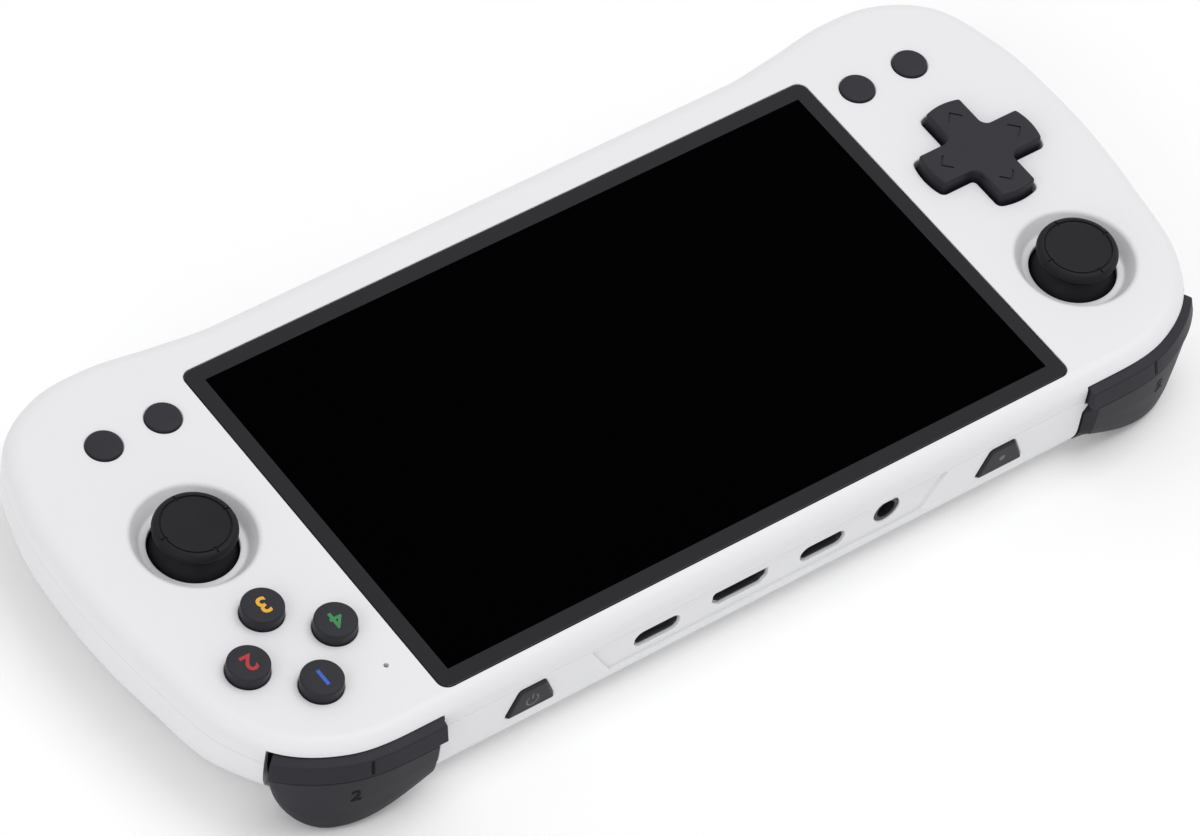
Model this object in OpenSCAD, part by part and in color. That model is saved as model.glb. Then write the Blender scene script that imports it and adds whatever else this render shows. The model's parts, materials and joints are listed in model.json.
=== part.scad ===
// Handheld game console lying on its back.
// +X is to the right as held, +Y is towards the port wall and +Z comes out of the screen.
// The origin is the bottom centre of the whole console.

/* [Body] */
// Overall width across the grips
body_w = 204; // [200:1:210]
// Thickness from the back to the front face
body_t = 20; // [19.5:0.25:21]
// Reach of the port wall from the origin
top_reach = 42.9; // [42.7:0.1:44]
// Reach of the grip lobes from the origin
grip_reach = 44.96; // [44.8:0.01:47]
// Reach of the straight bottom edge from the origin
waist_reach = 42.1; // [41.7:0.1:43]
// Height of the widest place of the grips
widest_y = -10.3; // [-15:0.1:-6]
// Wall of both shells
wall = 2; // [1.8:0.1:2.2]
// Depth of the front shell below the front face
seam_drop = 5; // [4.7:0.1:5.3]
// Edge rounding of the front face
front_round = 3.2; // [2.6:0.1:3.8]
// Edge rounding of the back at the grips
grip_round = 11.5; // [10.5:0.1:12]
// Edge rounding of the back at the shoulders
shoulder_round = 14.2; // [13:0.1:14.4]
// Edge rounding of the back at the port wall
port_round = 7.4; // [6.6:0.1:7.5]

/* [Screen] */
// Screen centre below the port wall
screen_drop = 40.5; // [40.3:0.1:41.1]
// Width of the lit area
active_w = 121.76; // [118:0.01:122]
// Height of the lit area
active_h = 68.49; // [66:0.01:69]
// Dark border left and right of the lit area
border_x = 2.9; // [2.6:0.1:3.2]
// Dark border above and below the lit area
border_y = 3.05; // [2.8:0.05:3.2]
// Corner radius of the glass
glass_corner = 1.8; // [1:0.1:3]
// Thickness of the glass
glass_t = 1; // [0.7:0.1:1.2]
// Thickness of the adhesive under the glass
tape_t = 0.2; // [0.1:0.05:0.3]
// Width of the ledge that carries the glass
ledge_w = 1.7; // [1.4:0.1:1.9]
// Thickness of the display panel
panel_t = 2.5; // [2:0.1:3]
// Clearance round the glass
glass_gap = 0.15; // [0.1:0.05:0.3]
// Clearance round the display panel
panel_gap = 0.3; // [0.2:0.05:0.5]

/* [Buttons] */
// Distance of both control clusters from the centre line
cluster_x = 80.2; // [79.5:0.1:81]
// Upper control centre above the screen centre
upper_rise = 18.1; // [17:0.1:19]
// Lower control centre below the screen centre
lower_drop = 8.55; // [8:0.05:9.5]
// Distance of each face button from the middle of its diamond
face_pitch = 8.3; // [8:0.1:8.8]
// Radius of a face button
face_r = 3.7; // [3.4:0.05:3.9]
// Height of a face button above the front face
face_proud = 2.3; // [1.8:0.1:2.8]
// Radius of a function button
func_r = 3.05; // [2.9:0.05:3.4]
// Height of a function button above the front face
func_proud = 0.5; // [0.4:0.05:0.8]
// Function buttons below the screen centre
func_drop = 31; // [30:0.1:32]
// Distance between the two function buttons of a side
func_pitch = 11.4; // [11:0.1:12]
// Inner function button from the cluster's centre line
func_shift = 9; // [8:0.1:9.5]
// Clearance round a button in its hole
key_gap = 0.15; // [0.1:0.05:0.3]
// Travel of a face button
face_travel = 1.2; // [0.8:0.1:1.4]
// Flange of a button beyond its radius
flange_w = 0.8; // [0.6:0.1:1]
// Thickness of a button's flange
flange_t = 1.2; // [1:0.1:1.4]
// Chamfer round the top of a button
key_chamfer = 0.4; // [0.2:0.05:0.6]
// Radius of the microphone hole
mic_r = 0.45; // [0.3:0.05:0.6]

/* [Direction pad] */
// Reach of an arm from the middle
pad_reach = 11.15; // [10.6:0.05:11.4]
// Width of an arm
pad_arm = 7.3; // [6.8:0.1:7.8]
// Height above the front face
pad_proud = 2.2; // [1.8:0.1:2.6]
// Clearance of the pad in its opening
pad_gap = 0.45; // [0.4:0.05:0.6]
// Fillet in the inner corners of the cross
pad_fillet = 1.5; // [1:0.1:2]
// Radius of the ball that the pad rocks on
pivot_r = 1.6; // [1.4:0.05:1.8]

/* [Sticks] */
// Radius of the dish at the front face
dish_r = 10.5; // [10.2:0.1:11]
// Depth of the dish
dish_depth = 2.8; // [2.4:0.1:3]
// Radius of the hole in the dish
stick_hole_r = 7.55; // [7.5:0.05:7.8]
// Radius of the thumb cap
cap_r = 7.05; // [6.9:0.05:7.3]
// Height of the cap's rim above the front face
cap_proud = 2.8; // [2.7:0.1:3.6]
// Pivot of the stick below the front face
pivot_drop = 8; // [7.9:0.05:8.2]
// Radius of the dust dome round the stick's pivot
dome_r = 8.4; // [8.2:0.05:8.4]
// Radius of the stick's shaft
shaft_r = 1.6; // [1.4:0.1:1.8]
// Radius of the small pivot pins in the stick's yoke
yoke_pin_r = 0.7; // [0.6:0.05:0.8]
// Running clearance of pins in their bores
run_gap = 0.05; // [0.03:0.01:0.08]
// Travel of a stick's click
click_travel = 0.4; // [0.3:0.05:0.4]

/* [Shoulders] */
// Inner end of the bumpers from the centre line
bumper_in = 65.8; // [65.4:0.1:66.2]
// Inner end of the triggers' outer face from the centre line
trigger_in = 67.4; // [67.2:0.1:67.8]
// Slanted inner end of the triggers, from the wall to the outer face
trigger_lead = 1.4; // [1.2:0.1:1.4]
// Notch between bumper and trigger at the slanted end
lead_drop = 2.2; // [1.8:0.1:2.6]
// Bumper beyond the body's outline
bumper_proud = 2.1; // [1.6:0.1:2.4]
// Bumper's crease beyond the body's outline
crease_proud = 1.3; // [1:0.1:1.6]
// Bumper's crease below the front face
crease_drop = 2.9; // [2.7:0.1:3.2]
// Split between bumper and trigger below the front face
split_drop = 6.1; // [5.8:0.1:6.4]
// Lower edge of the trigger's inner end below the front face
tail_drop = 13.8; // [13.4:0.1:14.2]
// Lower edge of the trigger's lobe below the front face
lobe_drop = 19.8; // [19:0.1:19.9]
// Underside of the trigger at the wall below the front face
root_drop = 17; // [16.5:0.1:17.2]
// Trigger's lower edge beyond the body's outline at its inner end
edge_proud = 1.2; // [1:0.1:1.5]
// Trigger's lower edge inside the body's outline at its outer end
edge_tuck = 0.2; // [0:0.1:0.4]
// Depth of both levers inside the outline
lever_depth = 4; // [3.6:0.1:4.2]
// Radius of the shoulder pins
pin_r = 1; // [0.8:0.05:1.2]
// Clearance of the shoulder levers
lever_gap = 0.3; // [0.25:0.05:0.4]

/* [Ports] */
// Axis of the USB-C sockets below the front face
usb_drop = 9.57; // [9.4:0.01:9.8]
// Right USB-C socket from the centre line
usb_right_x = 22.4; // [21:0.1:24]
// Left USB-C socket from the centre line
usb_left_x = -11.3; // [-12.5:0.1:-10.5]
// HDMI socket from the centre line
hdmi_x = 5.7; // [5:0.1:6.4]
// Audio jack from the centre line
jack_x = -24.5; // [-27:0.1:-23.5]
// Bore radius of the audio jack
jack_r = 1.8; // [1.75:0.01:1.85]
// Clearance of sockets in the wall
port_gap = 0.15; // [0.1:0.05:0.25]
// Depth of the flat recess round the ports
recess_t = 0.5; // [0.3:0.05:0.7]
// Power and reset buttons from the centre line
edge_key_x = 48; // [46:0.1:50]
// Width of an edge button at its lower end
edge_key_base = 9.7; // [9:0.1:10.2]
// Width of an edge button at its upper end
edge_key_tip = 4.9; // [4.4:0.1:5.4]
// Edge buttons beyond the port wall
edge_key_proud = 0.5; // [0.45:0.05:0.8]
// Travel of an edge button
edge_key_travel = 0.4; // [0.3:0.05:0.4]
// Memory card slot from the centre line
card_x = 22; // [21.5:0.1:24]
// Speakers from the centre line
speaker_x = 42; // [41:0.1:44]

/* [Inside] */
// Thickness of the circuit boards
board_t = 1.2; // [1:0.1:1.4]
// Front face of the control boards below the front shell's ceiling
board_drop = 6.1; // [6:0.05:6.3]
// Width of the battery
battery_w = 64; // [58:1:64]
// Height of the battery across the console
battery_h = 37; // [34:0.5:37]
// Thickness of the battery
battery_t = 8; // [6:0.1:9]
// Thickness of the rubber membranes
rubber_t = 0.8; // [0.6:0.1:1]
// Shaft radius of the case screws
screw_r = 0.9; // [0.8:0.05:1]

/* [Hidden] */
$fn = 64;
e = 0.01;
half_w = body_w / 2;
seam_z = body_t - seam_drop;
ceiling_z = body_t - wall;
floor_z = wall;
middle = [0, -2];

// Screen stack
screen_y = top_reach - screen_drop;
glass_w = active_w + 2 * border_x;
glass_h = active_h + 2 * border_y;
glass_z = body_t - glass_t;
ledge_z = glass_z - tape_t;
window_w = glass_w - 2 * ledge_w;
window_h = glass_h - 2 * ledge_w;
window_corner = glass_corner / 2;
panel_w = window_w - 2 * panel_gap;
panel_h = window_h - 2 * panel_gap;
panel_z = glass_z - panel_t;

// Control centres
upper_y = screen_y + upper_rise;
lower_y = screen_y - lower_drop;
func_y = screen_y - func_drop;
func_in_x = cluster_x - func_shift;
func_out_x = func_in_x + func_pitch;
face_at = [cluster_x - 0.35, upper_y + 0.2];
pad_at = [-cluster_x, lower_y];
left_stick_at = [-cluster_x, upper_y];
right_stick_at = [cluster_x, lower_y];
mic_at = [cluster_x - 11.4, upper_y + 10.5];

// Button stack between the front shell and the control boards
seat_gap = 0.1;
ctrl_z = ceiling_z - board_drop;
ctrl_back_z = ctrl_z - board_t;
flange_z = ceiling_z - seat_gap - flange_t;
stem_z = flange_z - 1.6;
stem_r = 2.5;
dome_top_z = stem_z - seat_gap;
dome_base_r = 3.2;
dome_tip_r = 2.3;

// Direction pad
pad_flange_r = pad_reach + 1;
pad_flange_z = ceiling_z - 2.6;
pad_pivot_z = pad_flange_z - 0.3;
pad_hub_r = pivot_r + 1.4;
pad_hub_z = pad_pivot_z - 0.6;
pad_dome_at = 8.2;
pivot_stem_r = 1.1;

// Sticks
stick_z = body_t - pivot_drop;
dome_t = 0.8;
dome_edge_deg = 76;
neck_r = 4.4;
dish_z = body_t - dish_depth;
dish_foot_r = stick_hole_r + 1.2;
dish_lip_t = 0.9;
housing_half = 8.5;
housing_flange_half = 9.5;
housing_flange_t = 0.8;
housing_wall = 1.2;
housing_z = ctrl_back_z - 4.4;
cradle_half = housing_half - housing_wall - 0.3;
cradle_floor_z = housing_z + 1 + click_travel + seat_gap;
cradle_floor_t = 1.2;
ear_in = 5.5;
ear_out = 6.6;
ear_half_y = 2.2;
ear_top_z = stick_z + yoke_pin_r + 0.4;
yoke_r = ear_in - 0.4;
yoke_bore_r = 3.5;
yoke_half_t = 1.1;
shaft_z = stick_z - 2.1;
cap_z = body_t + cap_proud;
shaft_top_z = cap_z - 2.3;
push_gap = 0.02;
board_hole_r = dome_r + 0.6;

// Shoulders
bumper_z = body_t - split_drop;
bumper_top_z = ceiling_z - lever_gap;
trigger_top_z = bumper_z - lever_gap;
tail_z = body_t - tail_drop;
lobe_z = body_t - lobe_drop;
root_z = body_t - root_drop;
trigger_end_z = body_t - 8.8;
pin_at = [trigger_in + 2.6, top_reach - 5.7];
pin_boss_r = pin_r + 1.2;
lever_sweep = lever_depth + 4;
pin_post_z = tail_z - lever_gap;
pin_foot_z = floor_z + 0.6;

// Ports
usb_size = [8.94, 3.26];
usb_skin = 0.3;
main_z = body_t - usb_drop - usb_size[1] / 2;
main_back_z = main_z - board_t;
hdmi_size = [11, 3.2];
hdmi_z = main_z + 0.4 + hdmi_size[1] / 2;
usb_z = main_z + usb_size[1] / 2;
jack_nose_r = 2.5;
jack_body = [6, 10, 5.2];
jack_z = main_z + jack_body[2] / 2;
port_face_y = top_reach - recess_t;
socket_y = port_face_y - 0.3;
socket_depth = 7.6;
recess_base = 31.85;
recess_tip = 36.5;
recess_z = body_t - 13;
recess_top_z = seam_z - 0.3;
wall_in_y = top_reach - wall;
edge_key_z = main_z - 0.6;
edge_key_top_z = body_t - 5.5;
edge_flange_t = 1.3;
edge_flange_y = wall_in_y - 0.2 - edge_flange_t;
main_top_y = edge_flange_y - edge_key_travel - 0.2;
edge_switch = [6, 3.4, 3.6];

// Inside
side_x = glass_w / 2 + 3;
main_half_w = side_x - 4.8;
main_low_y = battery_h / 2 - 14.3;
arm_x = card_x - 8;
waist_in_y = -(waist_reach - wall);
speaker_size = [18, 3.8, 6.4];
bottom_gap = 1.1;
speaker_y = waist_in_y + bottom_gap;
speaker_z = main_z - 0.1;
speaker_rib_z = 0.34 * grip_round;
arm_low_y = speaker_y + speaker_size[1] + 0.5;
battery_at = [arm_x - 2 - battery_w / 2, main_low_y - 1 - battery_h / 2];
pad_t = 0.6;
pad_margin = 3.5;
battery_z = floor_z + pad_t;
card_size = [14, 14.5, 1.8];
board_in_x = side_x - 0.3;
board_inset = 8.5;
post_r = 2.4;
post_base_z = 1.8;
post_meet_z = floor_z + 4;
screw_head_r = 1.9;
screw_head_t = 1.3;
screw_seat_z = 3.5;
screw_len = 7;
tap_len = screw_len + 0.5;
small_screw_r = 0.7;
small_head_r = 1.5;
small_head_t = 0.9;
board_post_r = 1.9;
case_screw_at = [
    [half_w - 9.5, lower_y + 14.85],
    [half_w - 12.5, func_y - 1.66],
    [side_x, func_y - 5.86],
    [side_x, upper_y + 6.2],
];
board_post_at = [
    [cluster_x - 12.2, lower_y + 14.85],
    [half_w - 8.5, lower_y + 20.35],
    [cluster_x - 3.2, lower_y - 14.65],
];
main_post_at = [
    [main_half_w - 4, main_top_y - 6],
    [main_half_w - 4, main_low_y + 2.6],
];

// Curves

function unit(v) = v / norm(v);
function left_of(v) = [-v[1], v[0]];
function mix(a, b, t) = a + (b - a) * t;
function ease(t) = t * t * (3 - 2 * t);

// Right half of the body's outline, from the end of the straight port wall to the straight bottom edge
knots = [
    [half_w - 32, top_reach],
    [half_w - 19, top_reach - 1.5],
    [half_w - 10.1, top_reach - 6.8],
    [half_w - 5, top_reach - 14.6],
    [half_w - 1.8, top_reach - 29.4],
    [half_w, widest_y],
    [half_w - 1.7, 18.4 - grip_reach],
    [half_w - 6.8, 6.4 - grip_reach],
    [half_w - 16, 0.9 - grip_reach],
    [half_w - 26.5, -grip_reach],
    [half_w - 38, 1.6 - grip_reach],
    [half_w - 50, -waist_reach],
];
last_knot = len(knots) - 1;

function heading(i) =
    i == 0 ? [1, 0] :
    i == last_knot ? [-1, 0] :
    let (back = knots[i] - knots[i - 1], ahead = knots[i + 1] - knots[i])
    unit(unit(back) * norm(ahead) + unit(ahead) * norm(back));

// Point at t from 0 to 1 on the smooth curve between knots i and i + 1
function outline_point(i, t) =
    let (
        p = knots[i],
        q = knots[i + 1],
        reach = norm(q - p),
        pull_p = heading(i) * reach,
        pull_q = heading(i + 1) * reach
    )
    p * (2 * t ^ 3 - 3 * t ^ 2 + 1) + pull_p * (t ^ 3 - 2 * t ^ 2 + t)
    + q * (3 * t ^ 2 - 2 * t ^ 3) + pull_q * (t ^ 3 - t ^ 2);

curve_steps = 4;
right_half = concat(
    [for (i = [0:last_knot - 1]) for (j = [0:curve_steps - 1]) outline_point(i, j / curve_steps)],
    [knots[last_knot]]
);
left_half = [for (i = [len(right_half) - 1:-1:0]) [-right_half[i][0], right_half[i][1]]];
outline = concat(right_half, left_half);
outline_n = len(outline);

function outward(path, i, n) =
    left_of(unit(unit(path[(i + 1) % n] - path[i]) + unit(path[i] - path[(i + n - 1) % n])));

outline_out = [for (i = [0:outline_n - 1]) outward(outline, i, outline_n)];

// Rounding of the back where the outline faces v: widest at the shoulders, tightest at the port wall
shoulder_turn = 0.6;
function back_round(v) =
    let (u = max(0, v[1]))
    u < shoulder_turn ? mix(grip_round, shoulder_round, ease(u / shoulder_turn)) :
    mix(shoulder_round, port_round, ease((u - shoulder_turn) / (1 - shoulder_turn)));
back_r = [for (v = outline_out) back_round(v)];

// One ring of the body: the outline moved in by inset, at height z
function ring(inset, z) =
    [for (i = [0:outline_n - 1]) [each (outline[i] - outline_out[i] * inset), z]];

// One ring of the back's rounding at angle a, for a surface that lies skin inside the outer one
function back_ring(a, skin) = [
    for (i = [0:outline_n - 1])
    let (r = back_r[i] - skin)
    [each (outline[i] - outline_out[i] * (skin + r * (1 - sin(a)))), skin + r * (1 - cos(a))]
];

// Solid through a list of rings, closed at both ends towards a point
module loft(rings, first, last) {
    n = len(rings[0]);
    count = len(rings);
    first_i = n * count;
    sides = [
        for (k = [0:count - 2]) for (i = [0:n - 1])
        let (j = (i + 1) % n, a = k * n)
        each [[a + i, a + j, a + n + j], [a + i, a + n + j, a + n + i]]
    ];
    caps = [
        for (i = [0:n - 1])
        let (j = (i + 1) % n, a = (count - 1) * n)
        each [[first_i, j, i], [first_i + 1, a + i, a + j]]
    ];
    polyhedron(concat([for (r = rings) each r], [first, last]), concat(sides, caps));
}

function average(ps, axis) = [for (p = ps) p[axis]] * [for (p = ps) 1] / len(ps);

// Helpers

module both_sides() {
    children();
    mirror([1, 0, 0]) children();
}

// Extrudes an X-Z outline along Y
module along_y(y0, y1) {
    translate([0, y1, 0]) rotate([90, 0, 0]) linear_extrude(y1 - y0) children();
}

module block(from, to) {
    translate(from) cube(to - from);
}

module rod(at, z0, z1, r) {
    translate([at[0], at[1], z0]) cylinder(h = z1 - z0, r = r);
}

module rounded_plate(w, h, r, z0, z1) {
    translate([0, screen_y, z0]) linear_extrude(z1 - z0) {
        square([w - 2 * r, h], center = true);
        square([w, h - 2 * r], center = true);
        for (x = [-1, 1]) for (y = [-1, 1])
            translate([x * (w / 2 - r), y * (h / 2 - r)]) circle(r);
    }
}

module stadium(w, h, grow = 0) {
    square([w - h, h + 2 * grow], center = true);
    for (x = [-1, 1]) translate([x * (w - h) / 2, 0]) circle(h / 2 + grow);
}

module trapezoid(base, tip, z0, z1, grow = 0) {
    polygon([
        [-base / 2 - grow, z0 - grow],
        [base / 2 + grow, z0 - grow],
        [tip / 2 + grow, z1 + grow],
        [-tip / 2 - grow, z1 + grow],
    ]);
}

// Plan of the direction pad: a cross with round arm ends and filleted inner corners
module cross(grow = 0) {
    arm = pad_arm / 2 + grow;
    intersection() {
        circle(pad_reach + grow);
        difference() {
            union() {
                square([2 * arm, 4 * pad_reach], center = true);
                square([4 * pad_reach, 2 * arm], center = true);
                square(2 * (arm + pad_fillet), center = true);
            }
            for (x = [-1, 1]) for (y = [-1, 1])
                translate([x, y] * (arm + pad_fillet)) circle(pad_fillet);
        }
    }
}

// Shoulder levers

// Path of the body's corner from x = start to the share t of the third curve, with its length so far
function corner_path(start, t) = concat(
    [[start, top_reach]],
    [for (i = [0, 1]) for (j = [0:5]) outline_point(i, j / 6)],
    [for (j = [0:3]) outline_point(2, t * j / 3)]
);

function run_length(path, i) = i == 0 ? 0 : run_length(path, i - 1) + norm(path[i] - path[i - 1]);

function path_out(path, i) =
    i == 0 ? [0, 1] :
    i == len(path) - 1 ? left_of(unit(path[i] - path[i - 1])) :
    left_of(unit(unit(path[i + 1] - path[i]) + unit(path[i] - path[i - 1])));

// Places a profile of [outward, z] points at station i of a path
function station(path, i, profile) =
    [for (p = profile) [each (path[i] + path_out(path, i) * p[0]), p[1]]];

module swept(rings) {
    centre = function (r) [for (axis = [0:2]) average(r, axis)];
    loft(rings, centre(rings[0]), centre(rings[len(rings) - 1]));
}

bumper_end_t = 0.165;
trigger_end_t = 0.155;
cut_end_t = 0.29;
lobe_at = 0.66;
tuck_from = 0.62;
tuck_to = 1;
root_in = 2.9;
bow = 0.25;
swing = 1.3;

// Lower edge of the trigger, its reach beyond the outline and its underside at the share s of its length
function trigger_low(s) =
    s < lobe_at ? mix(tail_z, lobe_z, sin(90 * s / lobe_at)) :
    mix(lobe_z, trigger_end_z, 1 - sqrt(max(0, 1 - ((s - lobe_at) / (1 - lobe_at)) ^ 2)));
function trigger_edge(s) =
    mix(edge_proud, -edge_tuck, ease(min(1, max(0, (s - tuck_from) / (tuck_to - tuck_from)))));
function trigger_root(s) = s < lobe_at ? root_z : max(root_z, trigger_low(s));

function trigger_profile(s) =
    let (
        low = trigger_low(s),
        edge = trigger_edge(s),
        root = trigger_root(s),
        knee = max(root + 0.2, tail_z),
        top_out = bumper_proud - 0.2
    )
    [
        [-root_in, root],
        [-root_in, knee],
        [-lever_depth, knee],
        [-lever_depth, trigger_top_z],
        [top_out, trigger_top_z],
        [mix(top_out, edge, 0.4) + bow, mix(trigger_top_z, low, 0.4)],
        [mix(top_out, edge, 0.75) + bow, mix(trigger_top_z, low, 0.75)],
        [edge, mix(trigger_top_z, low, 0.95)],
        [edge - 0.7, low],
        [-1.2, root],
    ];

bumper_profile = [
    [-lever_depth, bumper_z],
    [-lever_depth, bumper_top_z],
    [-0.3, bumper_top_z],
    [crease_proud, body_t - crease_drop],
    [bumper_proud, bumper_z],
];

// The trigger's path starts at the wall, ahead of its outer face, where its profile is drawn in
trigger_path = concat([[trigger_in - trigger_lead, top_reach]], corner_path(trigger_in, trigger_end_t));
function drawn_in(profile) = [for (p = profile) [min(p[0], 0.1), min(p[1], trigger_top_z - lead_drop)]];

function share(path, i) = min(1, run_length(path, i) / run_length(path, len(path) - 1));

// Space that the bumper and the trigger move in, cut out of both shells
module shoulder_space() {
    path = corner_path(bumper_in - lever_gap, cut_end_t);
    total = run_length(trigger_path, len(trigger_path) - 1);
    lead = trigger_path[0][0] - bumper_in + lever_gap;
    swept([
        for (i = [0:len(path) - 1])
        let (
            s = min(1, max(0, (run_length(path, i) - lead) / total)),
            behind = max(0, s - swing / total),
            lowest = min(trigger_low(s), trigger_root(s), trigger_low(behind), trigger_root(behind)) - lever_gap,
            knee = max(lowest + 0.2, tail_z - lever_gap),
            in = root_in + lever_gap + swing * s
        )
        station(path, i, [
            [-in, lowest],
            [-in, knee],
            [-lever_sweep, knee],
            [-lever_sweep, ceiling_z],
            [lever_sweep, ceiling_z],
            [lever_sweep, lowest],
        ])
    ]);
}

module lever_boss(z0, z1) {
    rod(pin_at, z0, z1, pin_boss_r);
    block([pin_at[0] - pin_boss_r, pin_at[1], z0], [pin_at[0] + pin_boss_r, top_reach - lever_depth + 1, z1]);
}

module bumper() {
    path = corner_path(bumper_in, bumper_end_t);
    difference() {
        union() {
            swept([for (i = [0:len(path) - 1]) station(path, i, bumper_profile)]);
            lever_boss(bumper_z, bumper_top_z);
        }
        rod(pin_at, bumper_z - 1, body_t, pin_r + run_gap);
    }
}

module trigger() {
    sections = [for (i = [0:len(trigger_path) - 1]) trigger_profile(share(trigger_path, i))];
    difference() {
        union() {
            swept([
                for (i = [0:len(sections) - 1])
                station(trigger_path, i, i == 0 ? drawn_in(sections[i]) : sections[i])
            ]);
            lever_boss(tail_z, trigger_top_z);
        }
        rod(pin_at, tail_z - 1, body_t, pin_r + run_gap);
    }
}

module bumper_left() color("#37373c") mirror([1, 0, 0]) bumper();
module bumper_right() color("#37373c") bumper();
module trigger_left() color("#37373c") mirror([1, 0, 0]) trigger();
module trigger_right() color("#37373c") trigger();

module shoulder_pins() color("silver") both_sides() rod(pin_at, pin_foot_z, ceiling_z, pin_r);

// Side-pressed switches on both faces of the control boards, just beyond the levers' full travel
module shoulder_switches() {
    at = [cluster_x - 6.2, upper_y + 13.7];
    size = [3, 3, 3.4];
    plunger = 3.2;
    color("dimgray") both_sides() {
        for (z = [ctrl_z, ctrl_back_z - size[2]]) {
            block([at[0] - size[0] / 2, at[1] - size[1], z], [at[0] + size[0] / 2, at[1], z + size[2]]);
            along_y(at[1] - e, at[1] + plunger) translate([at[0], z + size[2] / 2]) circle(0.9);
        }
    }
}

// Shells

module front_shell_body() {
    inner_r = front_round - wall;
    rings = concat(
        [for (a = [90:-30:0]) ring(wall + inner_r * (1 - cos(a)), ceiling_z - inner_r * (1 - sin(a)))],
        [ring(wall, seam_z), ring(0, seam_z)],
        [for (a = [0:18:90]) ring(front_round * (1 - cos(a)), body_t - front_round * (1 - sin(a)))]
    );
    loft(rings, [each middle, ceiling_z], [each middle, body_t]);
}

module front_shell() {
    color("#e8e8ea") difference() {
        union() {
            front_shell_body();
            for (at = [left_stick_at, right_stick_at])
                rod(at, dish_z - dish_lip_t, ceiling_z + e, dish_foot_r + 1.6);
            both_sides() {
                for (at = case_screw_at) rod(at, post_meet_z, ceiling_z + e, post_r);
                for (at = board_post_at) rod(at, ctrl_z, ceiling_z + e, board_post_r);
            }
        }
        rounded_plate(glass_w + 2 * glass_gap, glass_h + 2 * glass_gap, glass_corner, ledge_z, body_t + 1);
        rounded_plate(window_w, window_h, window_corner, seam_z, body_t + 1);
        for (at = [left_stick_at, right_stick_at]) {
            rod(at, dish_z - dish_lip_t - 1, body_t, stick_hole_r);
            translate([at[0], at[1], dish_z])
                cylinder(h = dish_depth + e, r1 = dish_foot_r, r2 = dish_r);
        }
        for (at = face_button_at) rod(at, seam_z, body_t + 1, face_r + key_gap);
        both_sides() for (x = [func_in_x, func_out_x]) rod([x, func_y], seam_z, body_t + 1, func_r + key_gap);
        translate([pad_at[0], pad_at[1], seam_z]) linear_extrude(body_t) cross(pad_gap);
        rod(mic_at, seam_z, body_t + 1, mic_r);
        both_sides() {
            shoulder_space();
            for (at = case_screw_at) rod(at, post_meet_z - 1, post_meet_z + tap_len, screw_r);
            for (at = board_post_at) rod(at, ctrl_z - 1, ctrl_z + 4, small_screw_r);
        }
    }
}

module back_shell_body() {
    rings = concat(
        [for (a = [0:18:90]) back_ring(a, 0)],
        [ring(0, seam_z), ring(wall, seam_z)],
        [for (a = [90:-30:0]) back_ring(a, wall)]
    );
    loft(rings, [each middle, 0], [each middle, floor_z]);
}

module speaker_slots() {
    for (i = [-2:2]) translate([speaker_x + i * 3, 0, 0])
        block([-0.6, -grip_reach, speaker_z + 1.4], [0.6, waist_in_y + 1, speaker_z + 5.2]);
}

module back_shell() {
    color("#e4e4e6") difference() {
        union() {
            back_shell_body();
            both_sides() {
                for (at = case_screw_at) rod(at, post_base_z, post_meet_z, post_r + 0.6);
                for (at = main_post_at) rod(at, post_base_z, main_back_z, board_post_r);
                rod(pin_at, post_base_z, pin_post_z, pin_boss_r);
                for (x = [-6, 6])
                    block([speaker_x + x - 0.6, speaker_y + 0.6, speaker_rib_z], [speaker_x + x + 0.6, speaker_y + 3, speaker_z]);
            }
        }
        along_y(port_face_y, top_reach + 1)
            trapezoid(2 * recess_base, 2 * recess_tip, recess_z, recess_top_z);
        along_y(wall_in_y - 1, top_reach + 1) {
            for (x = [usb_left_x, usb_right_x]) translate([x, usb_z]) stadium(usb_size[0], usb_size[1], port_gap);
            translate([hdmi_x, hdmi_z]) hdmi_outline(port_gap);
        }
        along_y(wall_in_y - 1, top_reach + 1) translate([jack_x, jack_z]) circle(jack_nose_r + port_gap);
        for (x = [-edge_key_x, edge_key_x])
            along_y(wall_in_y - 1, top_reach + 1) translate([x, 0]) edge_key_outline(key_gap);
        block([card_x - 5.8, -grip_reach, main_z + 0.2], [card_x + 5.8, waist_in_y + 1, main_z + card_size[2]]);
        both_sides() {
            shoulder_space();
            speaker_slots();
            rod(pin_at, pin_foot_z, pin_post_z + 1, pin_r);
            for (at = case_screw_at) {
                rod(at, -1, screw_seat_z, screw_head_r + 0.2);
                rod(at, 0, post_meet_z + 1, screw_r + 0.2);
            }
            for (at = main_post_at) rod(at, floor_z, main_back_z + 1, small_screw_r);
        }
    }
}

// Screen

module screen_glass() color("#2e2e32") rounded_plate(glass_w, glass_h, glass_corner, glass_z, body_t);

module screen_tape() {
    color("black") difference() {
        rounded_plate(glass_w - 0.2, glass_h - 0.2, glass_corner, ledge_z, glass_z);
        rounded_plate(window_w, window_h, window_corner, ledge_z - 1, glass_z + 1);
    }
}

module display_panel() {
    color("#101012") translate([0, screen_y, panel_z + panel_t / 2]) cube([panel_w, panel_h, panel_t], center = true);
}

// Flat ribbon folded once, from the back of the panel down to its connector on the mainboard
ribbon_t = 0.25;
ribbon_w = 20;
ribbon_x = -30;
ribbon_from_y = main_low_y + 6;
ribbon_bend_y = main_low_y + 13;
ribbon_low_z = main_z + 1;
plug_half_w = ribbon_w / 2 + 2;

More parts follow.
